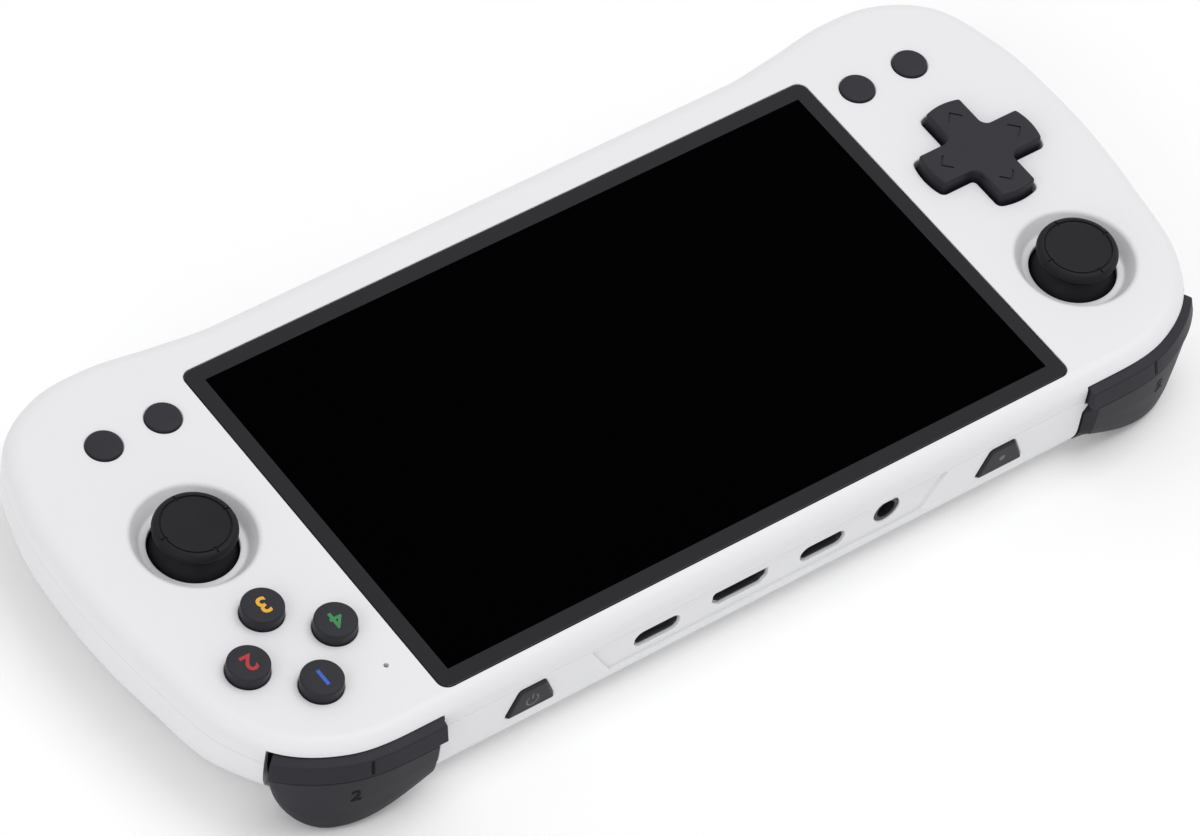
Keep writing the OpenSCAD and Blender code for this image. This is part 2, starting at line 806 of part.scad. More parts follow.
module display_ribbon() {
    bend_r = (panel_z - ribbon_low_z) / 2;
    color("#b07a30") translate([ribbon_x, 0, 0]) rotate([90, 0, 90])
        linear_extrude(ribbon_w, center = true) {
            translate([ribbon_from_y, panel_z - ribbon_t]) square([ribbon_bend_y - ribbon_from_y, ribbon_t]);
            translate([ribbon_from_y, ribbon_low_z]) square([ribbon_bend_y - ribbon_from_y, ribbon_t]);
            translate([ribbon_bend_y, ribbon_low_z + bend_r]) intersection() {
                difference() {
                    circle(bend_r);
                    circle(bend_r - ribbon_t);
                }
                translate([0, -bend_r]) square([bend_r, 2 * bend_r]);
            }
        }
}

// Round buttons

face_button_at = [
    face_at + [0, face_pitch],
    face_at - [0, face_pitch],
    face_at - [face_pitch, 0],
    face_at + [face_pitch, 0],
];

module round_button(at, r, proud) {
    top = body_t + proud;
    color("#37373c") {
        rod(at, stem_z, flange_z + e, stem_r);
        rod(at, flange_z, flange_z + flange_t, r + flange_w);
        rod(at, flange_z + flange_t - e, top - key_chamfer, r);
        translate([at[0], at[1], top - key_chamfer])
            cylinder(h = key_chamfer, r1 = r, r2 = r - key_chamfer);
    }
}

module face_button_top() round_button(face_button_at[0], face_r, face_proud);
module face_button_bottom() round_button(face_button_at[1], face_r, face_proud);
module face_button_left() round_button(face_button_at[2], face_r, face_proud);
module face_button_right() round_button(face_button_at[3], face_r, face_proud);
module function_button_left_outer() round_button([-func_out_x, func_y], func_r, func_proud);
module function_button_left_inner() round_button([-func_in_x, func_y], func_r, func_proud);
module function_button_right_inner() round_button([func_in_x, func_y], func_r, func_proud);
module function_button_right_outer() round_button([func_out_x, func_y], func_r, func_proud);

module dome(at, tip_z) {
    translate([at[0], at[1], ctrl_z + rubber_t - e])
        cylinder(h = tip_z - ctrl_z - rubber_t + e, r1 = dome_base_r, r2 = dome_tip_r);
}

module face_membrane() {
    color("#c8c8c4") {
        rod(face_at, ctrl_z, ctrl_z + rubber_t, face_pitch + 1);
        for (at = face_button_at) {
            rod(at, ctrl_z, ctrl_z + rubber_t, dome_base_r + 0.6);
            dome(at, dome_top_z);
        }
    }
}

module function_membrane(side) {
    color("#c8c8c4") {
        block(
            [min(side * func_in_x, side * func_out_x), func_y - 3, ctrl_z],
            [max(side * func_in_x, side * func_out_x), func_y + 3, ctrl_z + rubber_t]
        );
        for (x = [func_in_x, func_out_x]) {
            rod([side * x, func_y], ctrl_z, ctrl_z + rubber_t, dome_base_r + 0.6);
            dome([side * x, func_y], dome_top_z);
        }
    }
}

module function_membrane_left() function_membrane(-1);
module function_membrane_right() function_membrane(1);

// Direction pad

module direction_pad() {
    top = body_t + pad_proud;
    color("#37373c") translate([pad_at[0], pad_at[1], 0]) difference() {
        union() {
            rod([0, 0], pad_hub_z, pad_flange_z + e, pad_hub_r);
            rod([0, 0], pad_flange_z, pad_flange_z + flange_t, pad_flange_r);
            translate([0, 0, pad_flange_z + flange_t - e])
                linear_extrude(top - key_chamfer - pad_flange_z - flange_t + e) cross();
            translate([0, 0, top - key_chamfer - e]) linear_extrude(key_chamfer + e) cross(-key_chamfer);
        }
        translate([0, 0, pad_pivot_z]) sphere(pivot_r + run_gap);
        rod([0, 0], pad_hub_z - 1, pad_pivot_z, pivot_r + run_gap);
    }
}

module pad_pivot() {
    color("silver") translate([pad_at[0], pad_at[1], 0]) {
        translate([0, 0, pad_pivot_z]) sphere(pivot_r);
        rod([0, 0], ctrl_z + seat_gap, pad_pivot_z, pivot_stem_r);
    }
}

module pad_membrane() {
    color("#c8c8c4") translate([pad_at[0], pad_at[1], 0]) difference() {
        union() {
            rod([0, 0], ctrl_z, ctrl_z + rubber_t, pad_dome_at + dome_base_r + 0.6);
            for (at = [[0, 1], [0, -1], [1, 0], [-1, 0]]) dome(at * pad_dome_at, pad_flange_z - seat_gap);
        }
        rod([0, 0], ctrl_z - 1, ctrl_z + rubber_t + 1, pivot_stem_r + 0.6);
    }
}

// Sticks

module stick_cap(at) {
    rim = cap_r - 0.7;
    color("#1c1c1f") translate([at[0], at[1], 0]) difference() {
        rotate_extrude() {
            polygon([
                [0, stick_z + 6.4],
                [neck_r, stick_z + 6.4],
                [neck_r, cap_z - 2.9],
                [cap_r, cap_z - 0.9],
                [cap_r, cap_z - 0.5],
                [rim, cap_z],
                [rim - 0.7, cap_z],
                [rim - 1.3, cap_z - 0.4],
                [0, cap_z - 0.8],
            ]);
            translate([0, stick_z]) intersection() {
                difference() {
                    circle(dome_r);
                    circle(dome_r - dome_t);
                }
                polygon([
                    [0, 0],
                    [2 * dome_r * sin(dome_edge_deg), 2 * dome_r * cos(dome_edge_deg)],
                    [2 * dome_r, 2 * dome_r],
                    [0, 2 * dome_r],
                ]);
            }
        }
        rod([0, 0], stick_z, shaft_top_z, shaft_r + push_gap);
    }
}

module stick_shaft(at) {
    color("silver") translate([at[0], at[1], 0]) {
        rod([0, 0], shaft_z, shaft_top_z, shaft_r);
        along_y(0.2 - yoke_r, yoke_r - 0.2) translate([0, stick_z]) circle(yoke_pin_r);
    }
}

module across_x(x0, x1, z, r) {
    translate([x0, 0, z]) rotate([0, 90, 0]) cylinder(h = x1 - x0, r = r);
}

module stick_yoke(at) {
    color("#d8d8d0") translate([at[0], at[1], 0]) difference() {
        union() {
            rod([0, 0], stick_z - yoke_half_t, stick_z + yoke_half_t, yoke_r);
            across_x(-ear_out + 0.1, ear_out - 0.1, stick_z, yoke_pin_r);
        }
        rod([0, 0], stick_z - 2, stick_z + 2, yoke_bore_r);
        along_y(-yoke_r - 1, yoke_r + 1) translate([0, stick_z]) circle(yoke_pin_r + run_gap);
    }
}

module stick_cradle(at) {
    color("#3a3a3a") translate([at[0], at[1], 0]) difference() {
        union() {
            block(
                [-cradle_half, -cradle_half, cradle_floor_z],
                [cradle_half, cradle_half, cradle_floor_z + cradle_floor_t]
            );
            both_sides()
                block([ear_in, -ear_half_y, cradle_floor_z + cradle_floor_t - e], [ear_out, ear_half_y, ear_top_z]);
        }
        across_x(-ear_out - 1, ear_out + 1, stick_z, yoke_pin_r + run_gap);
    }
}

module stick_housing(at) {
    top = ctrl_back_z;
    inner = housing_half - housing_wall;
    color("#8a8a8e") translate([at[0], at[1], 0]) difference() {
        union() {
            block([-housing_half, -housing_half, housing_z], [housing_half, housing_half, top]);
            block(
                [-housing_flange_half, -housing_flange_half, top - housing_flange_t],
                [housing_flange_half, housing_flange_half, top]
            );
        }
        block([-inner, -inner, housing_z + 1], [inner, inner, top + 1]);
    }
}

module stick_cap_left() stick_cap(left_stick_at);
module stick_shaft_left() stick_shaft(left_stick_at);
module stick_yoke_left() stick_yoke(left_stick_at);
module stick_cradle_left() stick_cradle(left_stick_at);
module stick_housing_left() stick_housing(left_stick_at);
module stick_cap_right() stick_cap(right_stick_at);
module stick_shaft_right() stick_shaft(right_stick_at);
module stick_yoke_right() stick_yoke(right_stick_at);
module stick_cradle_right() stick_cradle(right_stick_at);
module stick_housing_right() stick_housing(right_stick_at);

// Port wall

module edge_key_outline(grow = 0) {
    trapezoid(edge_key_base, edge_key_tip, edge_key_z, edge_key_top_z, grow);
}

module edge_key(x) {
    color("#37373c") translate([x, 0, 0]) {
        along_y(edge_flange_y, top_reach + edge_key_proud) edge_key_outline();
        along_y(edge_flange_y, edge_flange_y + edge_flange_t) edge_key_outline(0.9);
    }
}

module power_button() edge_key(edge_key_x);
module reset_button() edge_key(-edge_key_x);

module edge_switches() {
    front_y = main_top_y - 0.6;
    color("dimgray") for (x = [-edge_key_x, edge_key_x]) {
        block(
            [x - edge_switch[0] / 2, front_y - edge_switch[1], main_z],
            [x + edge_switch[0] / 2, front_y, main_z + edge_switch[2]]
        );
        along_y(front_y - e, main_top_y) translate([x, main_z + edge_switch[2] / 2]) circle(1);
    }
}

module usb_socket(x) {
    color("silver") translate([x, 0, usb_z]) {
        along_y(socket_y - socket_depth, socket_y) difference() {
            stadium(usb_size[0], usb_size[1]);
            stadium(usb_size[0] - 2 * usb_skin, usb_size[1] - 2 * usb_skin);
        }
        along_y(socket_y - socket_depth, socket_y - socket_depth + 1)
            stadium(usb_size[0] - usb_skin, usb_size[1] - usb_skin);
        block([-3.35, socket_y - socket_depth, -0.35], [3.35, socket_y - 0.8, 0.35]);
    }
}

module usb_socket_left() usb_socket(usb_left_x);
module usb_socket_right() usb_socket(usb_right_x);

module hdmi_outline(grow = 0) {
    w = hdmi_size[0] / 2 + grow;
    h = hdmi_size[1] / 2 + grow;
    polygon([[-w + 1.4, -h], [w - 1.4, -h], [w, -h + 1.2], [w, h], [-w, h], [-w, -h + 1.2]]);
}

module hdmi_socket() {
    color("silver") translate([hdmi_x, 0, hdmi_z]) {
        along_y(socket_y - socket_depth, socket_y) difference() {
            hdmi_outline();
            hdmi_outline(-usb_skin);
        }
        along_y(socket_y - socket_depth, socket_y - socket_depth + 1) hdmi_outline(-usb_skin / 2);
        block([-4, socket_y - socket_depth, -0.1], [4, socket_y - 0.8, 0.6]);
        for (x = [-4.6, 3.6])
            block([x, socket_y - socket_depth, main_z - hdmi_z], [x + 1, socket_y - 4, e - hdmi_size[1] / 2]);
    }
}

module audio_jack() {
    back_y = main_top_y - jack_body[1];
    color("#202022") difference() {
        union() {
            block([jack_x - jack_body[0] / 2, back_y, main_z], [jack_x + jack_body[0] / 2, wall_in_y - 0.2, main_z + jack_body[2]]);
            along_y(wall_in_y - 0.3, socket_y) translate([jack_x, jack_z]) circle(jack_nose_r);
        }
        along_y(back_y + 1, socket_y + 1) translate([jack_x, jack_z]) circle(jack_r);
    }
}

module card_socket() {
    front_y = waist_in_y + bottom_gap;
    color("silver") difference() {
        block([card_x - card_size[0] / 2, front_y, main_z], [card_x + card_size[0] / 2, front_y + card_size[1], main_z + card_size[2]]);
        block([card_x - 5.6, front_y - 1, main_z + 0.4], [card_x + 5.6, front_y + 12, main_z + 1.4]);
    }
}

// Boards

module mainboard() {
    color("#1d5c3a") {
        difference() {
            union() {
                block([-main_half_w, main_low_y, main_back_z], [main_half_w, main_top_y, main_z]);
                block([arm_x, arm_low_y, main_back_z], [main_half_w, main_low_y + 1, main_z]);
            }
            both_sides() for (at = main_post_at) rod(at, main_back_z - 1, main_z + 1, small_screw_r + 0.1);
        }
        block(
            [ribbon_x - plug_half_w, ribbon_from_y - 3, main_z - e],
            [ribbon_x + plug_half_w, ribbon_from_y + 2, ribbon_low_z]
        );
        for (x = [-6, 10]) block([x, main_low_y + 6, main_z - e], [x + 11, main_low_y + 17, main_z + 1.1]);
        block([38, main_low_y - 12, main_z - e], [47, main_low_y - 3, main_z + 0.9]);
    }
}

module shield_can() {
    size = [15, 14, 2.2];
    skin = 0.3;
    low = [ribbon_x - ribbon_w / 2 - 1 - size[0], main_top_y - 6.6 - size[1], main_z];
    color("silver") difference() {
        block(low, low + size);
        block(low + [skin, skin, -1], low + size - [skin, skin, skin]);
    }
}

module control_board(stick_at) {
    side = stick_at[0] > 0 ? 1 : -1;
    inset = [for (i = [0:outline_n - 1]) outline[i] - outline_out[i] * board_inset];
    color("#1d5c3a") difference() {
        translate([0, 0, ctrl_back_z]) linear_extrude(board_t) intersection() {
            polygon(inset);
            translate([side > 0 ? board_in_x : -half_w, -grip_reach])
                square([half_w - board_in_x, grip_reach + top_reach]);
        }
        rod(stick_at, ctrl_back_z - 1, ctrl_z + 1, board_hole_r);
        for (at = case_screw_at) rod([side * at[0], at[1]], ctrl_back_z - 1, ctrl_z + 1, post_r + 0.5);
        for (at = board_post_at) rod([side * at[0], at[1]], ctrl_back_z - 1, ctrl_z + 1, small_screw_r + 0.1);
    }
}

module control_board_left() control_board(left_stick_at);
module control_board_right() control_board(right_stick_at);

// Flat ribbon that climbs from the mainboard to the back of a control board
module control_ribbon() {
    foot_x = main_half_w - 5;
    top_x = board_in_x + 0.6;
    end_x = board_in_x + 3.6;
    low = main_z;
    high = ctrl_back_z - ribbon_t;
    color("#b07a30") along_y(upper_y - 7.5, upper_y - 1) polygon([
        [foot_x, low], [main_half_w + 0.4, low], [top_x, high], [end_x, high],
        [end_x, high + ribbon_t], [top_x - 0.1, high + ribbon_t],
        [main_half_w + 0.3, low + ribbon_t], [foot_x, low + ribbon_t],
    ]);
}

module control_ribbon_left() mirror([1, 0, 0]) control_ribbon();
module control_ribbon_right() control_ribbon();

module microphone() color("#202022") rod(mic_at, ctrl_z, ceiling_z - seat_gap, 1.5);

// Power, sound and fasteners

module battery() {
    color("#3c4a8c") block(
        [each (battery_at - [battery_w, battery_h] / 2), battery_z],
        [each (battery_at + [battery_w, battery_h] / 2), battery_z + battery_t]
    );
}

module battery_pad() {
    size = [battery_w, battery_h] - pad_margin * [2, 2];
    color("white") block([each (battery_at - size / 2), floor_z], [each (battery_at + size / 2), battery_z]);
}

module speaker(side) {
    low = [side * speaker_x - speaker_size[0] / 2, speaker_y, speaker_z];
    color("#2a2a2c") difference() {
        block(low, low + speaker_size);
        along_y(speaker_y - 1, speaker_y + 0.6) translate([side * speaker_x, speaker_z + speaker_size[2] / 2])
            stadium(speaker_size[0] - 3, speaker_size[2] - 2);
    }
}

module speaker_left() speaker(-1);
module speaker_right() speaker(1);

module case_screws() {
    color("silver") both_sides() for (at = case_screw_at) {
        rod(at, screw_seat_z - screw_head_t, screw_seat_z, screw_head_r);
        rod(at, screw_seat_z - e, screw_seat_z + screw_len, screw_r);
    }
}

module board_screws() {
    color("silver") both_sides() {
        for (at = board_post_at) {
            rod(at, ctrl_back_z - small_head_t, ctrl_back_z, small_head_r);
            rod(at, ctrl_back_z - e, ctrl_z + 3, small_screw_r);
        }
        for (at = main_post_at) {
            rod(at, main_z, main_z + small_head_t, small_head_r);
            rod(at, floor_z + 0.4, main_z + e, small_screw_r);
        }
    }
}

front_shell();
back_shell();
screen_glass();
screen_tape();
display_panel();
display_ribbon();
face_button_top();
face_button_bottom();
face_button_left();
face_button_right();
face_membrane();
direction_pad();
pad_pivot();
pad_membrane();
function_button_left_outer();
function_button_left_inner();
function_button_right_inner();
function_button_right_outer();
function_membrane_left();
function_membrane_right();
stick_cap_left();
stick_shaft_left();
stick_yoke_left();
stick_cradle_left();
stick_housing_left();
stick_cap_right();
stick_shaft_right();
stick_yoke_right();
stick_cradle_right();
stick_housing_right();
bumper_left();
bumper_right();
trigger_left();
trigger_right();
shoulder_pins();
shoulder_switches();
power_button();
reset_button();
edge_switches();
usb_socket_left();
usb_socket_right();
hdmi_socket();
audio_jack();
card_socket();
mainboard();
shield_can();
control_board_left();
control_board_right();
control_ribbon_left();
control_ribbon_right();
microphone();
battery();
battery_pad();
speaker_left();
speaker_right();
case_screws();
board_screws();
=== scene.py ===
"""Finished surfaces of a handheld game console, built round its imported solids.

Lengths in the lists below are millimetres in the part's own frame: +X is to the right as held,
+Y points to the port wall and +Z comes out of the screen.
"""

import json
import math

import bmesh
import bpy
from bpy.props import FloatProperty, FloatVectorProperty, PointerProperty
from mathutils import Matrix, Vector

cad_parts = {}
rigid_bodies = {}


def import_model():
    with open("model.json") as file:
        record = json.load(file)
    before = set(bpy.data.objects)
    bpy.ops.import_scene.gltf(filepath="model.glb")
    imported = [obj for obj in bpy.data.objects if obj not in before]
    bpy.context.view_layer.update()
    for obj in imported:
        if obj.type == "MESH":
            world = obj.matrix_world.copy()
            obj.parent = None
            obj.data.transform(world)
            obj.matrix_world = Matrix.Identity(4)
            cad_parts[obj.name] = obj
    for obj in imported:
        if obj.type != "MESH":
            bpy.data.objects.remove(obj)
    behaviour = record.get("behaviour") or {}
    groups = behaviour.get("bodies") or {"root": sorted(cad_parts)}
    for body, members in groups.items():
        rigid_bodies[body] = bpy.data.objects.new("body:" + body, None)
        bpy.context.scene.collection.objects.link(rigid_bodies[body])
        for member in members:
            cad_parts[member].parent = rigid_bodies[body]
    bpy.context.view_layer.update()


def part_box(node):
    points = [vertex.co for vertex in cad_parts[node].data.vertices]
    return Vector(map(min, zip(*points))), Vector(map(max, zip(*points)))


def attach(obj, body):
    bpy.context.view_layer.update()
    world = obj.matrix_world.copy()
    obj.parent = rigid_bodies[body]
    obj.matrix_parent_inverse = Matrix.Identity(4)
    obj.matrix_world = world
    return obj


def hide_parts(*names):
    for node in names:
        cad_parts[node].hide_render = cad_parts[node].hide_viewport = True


bl_info = {
    "name": "Handheld game console",
    "version": (1, 0, 0),
    "blender": (4, 5, 0),
    "location": "View3D > Sidebar > Console",
    "description": "Dresses the packed solids of a handheld game console",
    "category": "Object",
}

for leftover in list(bpy.data.objects):
    bpy.data.objects.remove(leftover)
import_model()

MM = 0.001
WELD = 0.002 * MM


def span(node):
    """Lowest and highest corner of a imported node, in millimetres."""
    low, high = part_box(node)
    return Vector(low) / MM, Vector(high) / MM


def middle(node, axes="xy"):
    """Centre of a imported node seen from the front, or in another pair of axes."""
    low, high = span(node)
    return tuple((getattr(low, axis) + getattr(high, axis)) / 2 for axis in axes)


BODY_TOP = span("front_shell")[1].z
SEAM = span("back_shell")[1].z
HALF_W = span("back_shell")[1].x
PORT_WALL = span("back_shell")[1].y
GRIP_REACH = 44.96
WAIST_REACH = 42.1
WIDEST_Y = -10.3
LEFT, RIGHT = -1, 1


def length(name, description, mm):
    """Setting for a length, written here in millimetres."""
    return FloatProperty(
        name=name, description=description, default=mm * MM, min=0, unit="LENGTH", precision=5
    )


def direction(name, description, degrees):
    """Setting for an angle, written here in degrees."""
    return FloatProperty(
        name=name, description=description, default=math.radians(degrees), subtype="ANGLE"
    )


def colour(name, description, rgb):
    """Setting for a colour."""
    return FloatVectorProperty(
        name=name, description=description, default=rgb, size=3, min=0, max=1, subtype="COLOR"
    )


class ShellSettings(bpy.types.PropertyGroup):
    wall: length("Wall", "Thickness of both covers", 2)
    front_round: length("Front rounding", "Edge rounding of the front face", 3.2)
    grip_round: length("Grip rounding", "Edge rounding of the back at the grips", 11.5)
    shoulder_round: length("Shoulder rounding", "Edge rounding of the back at the shoulders", 14.2)
    port_round: length("Port wall rounding", "Edge rounding of the back at the port wall", 7.4)
    seam_gap: length("Seam", "Half width of the seam between the covers", 0.03)
    seam_break: length("Seam edge", "Chamfer on both sides of the seam", 0.06)
    hole_break: length("Hole edge", "Chamfer round the holes", 0.15)
    dish_round: length("Dish rounding", "Rounding of the dish's rim", 1.1)
    tone: colour("White", "Colour of the moulded covers", (0.80, 0.80, 0.815))


class KeySettings(bpy.types.PropertyGroup):
    face_r: length("Face button radius", "Radius of a face button", 3.58)
    function_r: length("Function button radius", "Radius of a function button", 3.05)
    gap: length("Gap", "Clearance round a button", 0.12)
    face_round: length("Face button rounding", "Rounding of a face button's top edge", 0.38)
    function_round: length("Function button rounding", "Rounding of a function button's top edge", 0.25)
    arm: length("Pad arm", "Width of an arm of the direction pad", 7.3)
    reach: length("Pad reach", "Reach of an arm of the direction pad", 11.15)
    fillet: length("Pad fillet", "Fillet in the inner corners of the direction pad", 1.5)
    pad_gap: length("Pad gap", "Clearance round the direction pad", 0.65)
    pad_round: length("Pad rounding", "Rounding of the direction pad's top edge", 0.5)
    tone: colour("Key grey", "Colour of the moulded keys", (0.0170, 0.0172, 0.0232))
    yellow: colour("Yellow", "Print on the bottom face button", (0.80, 0.42, 0.02))
    green: colour("Green", "Print on the left face button", (0.02, 0.22, 0.06))
    red: colour("Red", "Print on the right face button", (0.45, 0.01, 0.015))
    blue: colour("Blue", "Print on the top face button", (0.02, 0.10, 0.52))


class StickSettings(bpy.types.PropertyGroup):
    cap_r: length("Cap radius", "Radius of the thumb cap", 7.05)
    neck_r: length("Neck radius", "Radius of the neck under the cap", 4.4)
    dome_r: length("Dome radius", "Radius of the dust dome", 8.4)
    dome_t: length("Dome wall", "Thickness of the dust dome", 0.8)
    tone: colour("Rubber black", "Colour of the thumb caps", (0.0060, 0.0062, 0.0090))


class ScreenSettings(bpy.types.PropertyGroup):
    active_w: length("Lit width", "Width of the lit area", 121.76)
    active_h: length("Lit height", "Height of the lit area", 68.49)
    corner: length("Corner", "Corner radius of the glass", 1.8)
    edge: length("Edge", "Ground edge of the glass", 0.15)
    border: colour("Border", "Printed border behind the glass", (0.0125, 0.0125, 0.0160))


class StageSettings(bpy.types.PropertyGroup):
    distance: length("Distance", "Camera from the point that it looks at", 1078.45)
    azimuth: direction("Azimuth", "Camera's direction round the console", 45.877)
    elevation: direction("Elevation", "Camera's height above the table", 49.989)
    roll: direction("Roll", "Camera's turn about its view", 10.437)
    lens: FloatProperty(name="Lens", description="Focal length in millimetres", default=198.85, min=1)
    floor: colour("Floor", "Colour of the table", (1.0, 1.0, 1.0))


# Outlines


def fillet(points, radii, steps=5, closed=True):
    """Rounds the corners of an outline, each with the same number of points."""
    count = len(points)
    rounded = []
    for k, (point, radius) in enumerate(zip(points, radii)):
        corner = Vector(point)
        if radius <= 0 or (not closed and k in (0, count - 1)):
            rounded += [tuple(corner)]
            continue
        back = Vector(points[k - 1]) - corner
        ahead = Vector(points[(k + 1) % count]) - corner
        turn = back.angle(ahead)
        if turn > math.pi - 1e-3:
            rounded += [tuple(corner)] * (steps + 1)
            continue
        tangent = min(radius / math.tan(turn / 2), 0.48 * back.length, 0.48 * ahead.length)
        start = corner + back.normalized() * tangent
        end = corner + ahead.normalized() * tangent
        inward = (back.normalized() + ahead.normalized()).normalized()
        centre = corner + inward * tangent / math.cos(turn / 2)
        sweep = math.pi - turn
        side = start - centre
        across = (end - centre) - side * math.cos(sweep)
        across = across.normalized() * side.length
        for j in range(steps + 1):
            angle = sweep * j / steps
            rounded.append(tuple(centre + side * math.cos(angle) + across * math.sin(angle)))
    return rounded


def grow(outline, by):
    """Moves every side of a counter-clockwise outline outwards."""
    moved = []
    sides = [Vector(end) - Vector(start) for start, end in zip(outline, outline[1:] + outline[:1])]
    for k, here in enumerate(outline):
        around = sides[k:] + sides[:k]
        before = next(side for side in reversed(around) if side.length > 1e-6).normalized()
        after = next(side for side in around if side.length > 1e-6).normalized()
        out = Vector((before.y + after.y, -before.x - after.x))
        out /= max(0.3, 1 + before.dot(after))
        moved.append((here[0] + out.x * by, here[1] + out.y * by))
    return moved


def rectangle(w, h, corner, at=(0, 0), steps=8):
    """Rounded rectangle, counter-clockwise."""
    x, y = w / 2, h / 2
    corners = [(at[0] + u * x, at[1] + v * y) for u, v in ((-1, -1), (1, -1), (1, 1), (-1, 1))]
    return fillet(corners, [corner] * 4, steps)


def disc(radius, at=(0, 0), steps=48):
    """Circle, counter-clockwise."""
    angles = [math.tau * k / steps for k in range(steps)]
    return [(at[0] + radius * math.cos(a), at[1] + radius * math.sin(a)) for a in angles]


def cross(arm, reach, inner, at):
    """Plan of the direction pad: round arm ends, eased corners and filleted inner corners."""
    half = arm / 2
    swing = math.asin(half / reach)
    points, radii = [], []
    for quarter in range(4):
        turn = quarter * math.pi / 2
        for k in range(-4, 5):
            angle = turn + swing * k / 4
            points.append((reach * math.cos(angle), reach * math.sin(angle)))
            radii.append(0.65 if abs(k) == 4 else 0)
        corner = turn + math.pi / 4
        points.append((half * math.sqrt(2) * math.cos(corner), half * math.sqrt(2) * math.sin(corner)))
        radii.append(inner)
    return [(at[0] + x, at[1] + y) for x, y in fillet(points, radii, 6)]


def four_ways(points, at):
    """The same outline turned to the four sides of a centre."""
    for quarter in range(4):
        turn = Matrix.Rotation(quarter * math.pi / 2, 2)
        yield [(at[0] + p.x, at[1] + p.y) for p in (turn @ Vector(point) for point in points)]


def rounded_edge(radius, top, steps):
    """Quarter round at the top of a stack, as (growth, height) steps."""
    angles = [math.pi / 2 * k / steps for k in range(1, steps + 1)]
    return [(-radius * (1 - math.cos(a)), top - radius * (1 - math.sin(a))) for a in angles]


def ease(t):
    """Smooth step from 0 to 1."""
    t = min(1, max(0, t))
    return t * t * (3 - 2 * t)


def mix(a, b, t):
    """Value at the share t between a and b."""
    return a + (b - a) * t


KNOTS = [
    Vector(p)
    for p in (
        (HALF_W - 32, PORT_WALL),
        (HALF_W - 19, PORT_WALL - 1.5),
        (HALF_W - 10.1, PORT_WALL - 6.8),
        (HALF_W - 5, PORT_WALL - 14.6),
        (HALF_W - 1.8, PORT_WALL - 29.4),
        (HALF_W, WIDEST_Y),
        (HALF_W - 1.7, 18.4 - GRIP_REACH),
        (HALF_W - 6.8, 6.4 - GRIP_REACH),
        (HALF_W - 16, 0.9 - GRIP_REACH),
        (HALF_W - 26.5, -GRIP_REACH),
        (HALF_W - 38, 1.6 - GRIP_REACH),
        (HALF_W - 50, -WAIST_REACH),
    )
]


def heading(k):
    """Direction of the body's outline at a knot."""
    if k == 0:
        return Vector((1, 0))
    if k == len(KNOTS) - 1:
        return Vector((-1, 0))
    back = KNOTS[k] - KNOTS[k - 1]
    ahead = KNOTS[k + 1] - KNOTS[k]
    return (back.normalized() * ahead.length + ahead.normalized() * back.length).normalized()


def on_outline(k, t):
    """Point at t from 0 to 1 on the smooth curve between knots k and k + 1."""
    start, end = KNOTS[k], KNOTS[k + 1]
    reach = (end - start).length
    leave, arrive = heading(k) * reach, heading(k + 1) * reach
    return (
        start * (2 * t**3 - 3 * t**2 + 1)
        + leave * (t**3 - 2 * t**2 + t)
        + end * (3 * t**2 - 2 * t**3)
        + arrive * (t**3 - t**2)
    )


def left_of(v):
    """Vector turned a quarter to the left."""
    return Vector((-v.y, v.x))


def body_outline(steps=16):
    """Points of the whole body outline with their outward directions."""
    right = [on_outline(k, j / steps) for k in range(len(KNOTS) - 1) for j in range(steps)] + [KNOTS[-1]]
    points = right + [Vector((-p.x, p.y)) for p in reversed(right)]
    outs = []
    for k, here in enumerate(points):
        back = (here - points[k - 1]).normalized()
        ahead = (points[(k + 1) % len(points)] - here).normalized()
        outs.append(left_of(back + ahead).normalized())
    return points, outs


# Solids: each is a list of corners and a list of faces


def merge(*solids):
    """Several solids as one."""
    verts, faces = [], []
    for more_verts, more_faces in solids:
        faces += [tuple(i + len(verts) for i in face) for face in more_faces]
        verts += more_verts
    return verts, faces


def stack(rings):
    """Solid through rings of equal count, closed at both ends."""
    count = len(rings[0])
    verts = [tuple(p) for ring in rings for p in ring]
    faces = []
    for k in range(len(rings) - 1):
        a, b = k * count, (k + 1) * count
        faces += [(a + i, a + (i + 1) % count, b + (i + 1) % count, b + i) for i in range(count)]
    faces.append(tuple(reversed(range(count))))
    faces.append(tuple(range(len(verts) - count, len(verts))))
    return verts, faces


def turned(profile, at, steps=96):
    """Solid turned about an upright axis, from (radius, height) points that start and end on the axis."""
    verts, rows, faces = [], [], []
    for radius, height in profile:
        if radius < 1e-6:
            rows.append([len(verts)])
            verts.append((at[0], at[1], height))
        else:
            rows.append(range(len(verts), len(verts) + steps))
            verts += [(x, y, height) for x, y in disc(radius, at, steps)]
    for low, high in zip(rows, rows[1:]):
        for k in range(steps):
            j = (k + 1) % steps
            corners = [low[k % len(low)], low[j % len(low)], high[j % len(high)], high[k % len(high)]]
            faces.append(tuple(dict.fromkeys(corners)))
    return verts, faces


def levels(outline, steps, axis="Z"):
    """Stack of one outline, grown by the first number of each step at the height of the second."""
    rings = []
    for by, height in steps:
        ring = grow(outline, by) if by else outline
        rings.append([(u, v, height) if axis == "Z" else (u, height, v) for u, v in ring])
    return stack(rings)


def hole(outline, low, high, chamfer, axis="Z"):
    """Cutter for a hole whose edge at high is chamfered."""
    return levels(outline, [(0, low), (0, high - chamfer), (chamfer, high), (chamfer, high + 1)], axis)


def clean(mesh):
    """Welds a mesh, drops what has no area and turns its faces outwards."""
    work = bmesh.new()
    work.from_mesh(mesh)
    bmesh.ops.remove_doubles(work, verts=work.verts, dist=WELD)
    bmesh.ops.dissolve_degenerate(work, edges=work.edges, dist=WELD)
    bmesh.ops.recalc_face_normals(work, faces=work.faces)
    work.to_mesh(mesh)
    work.free()


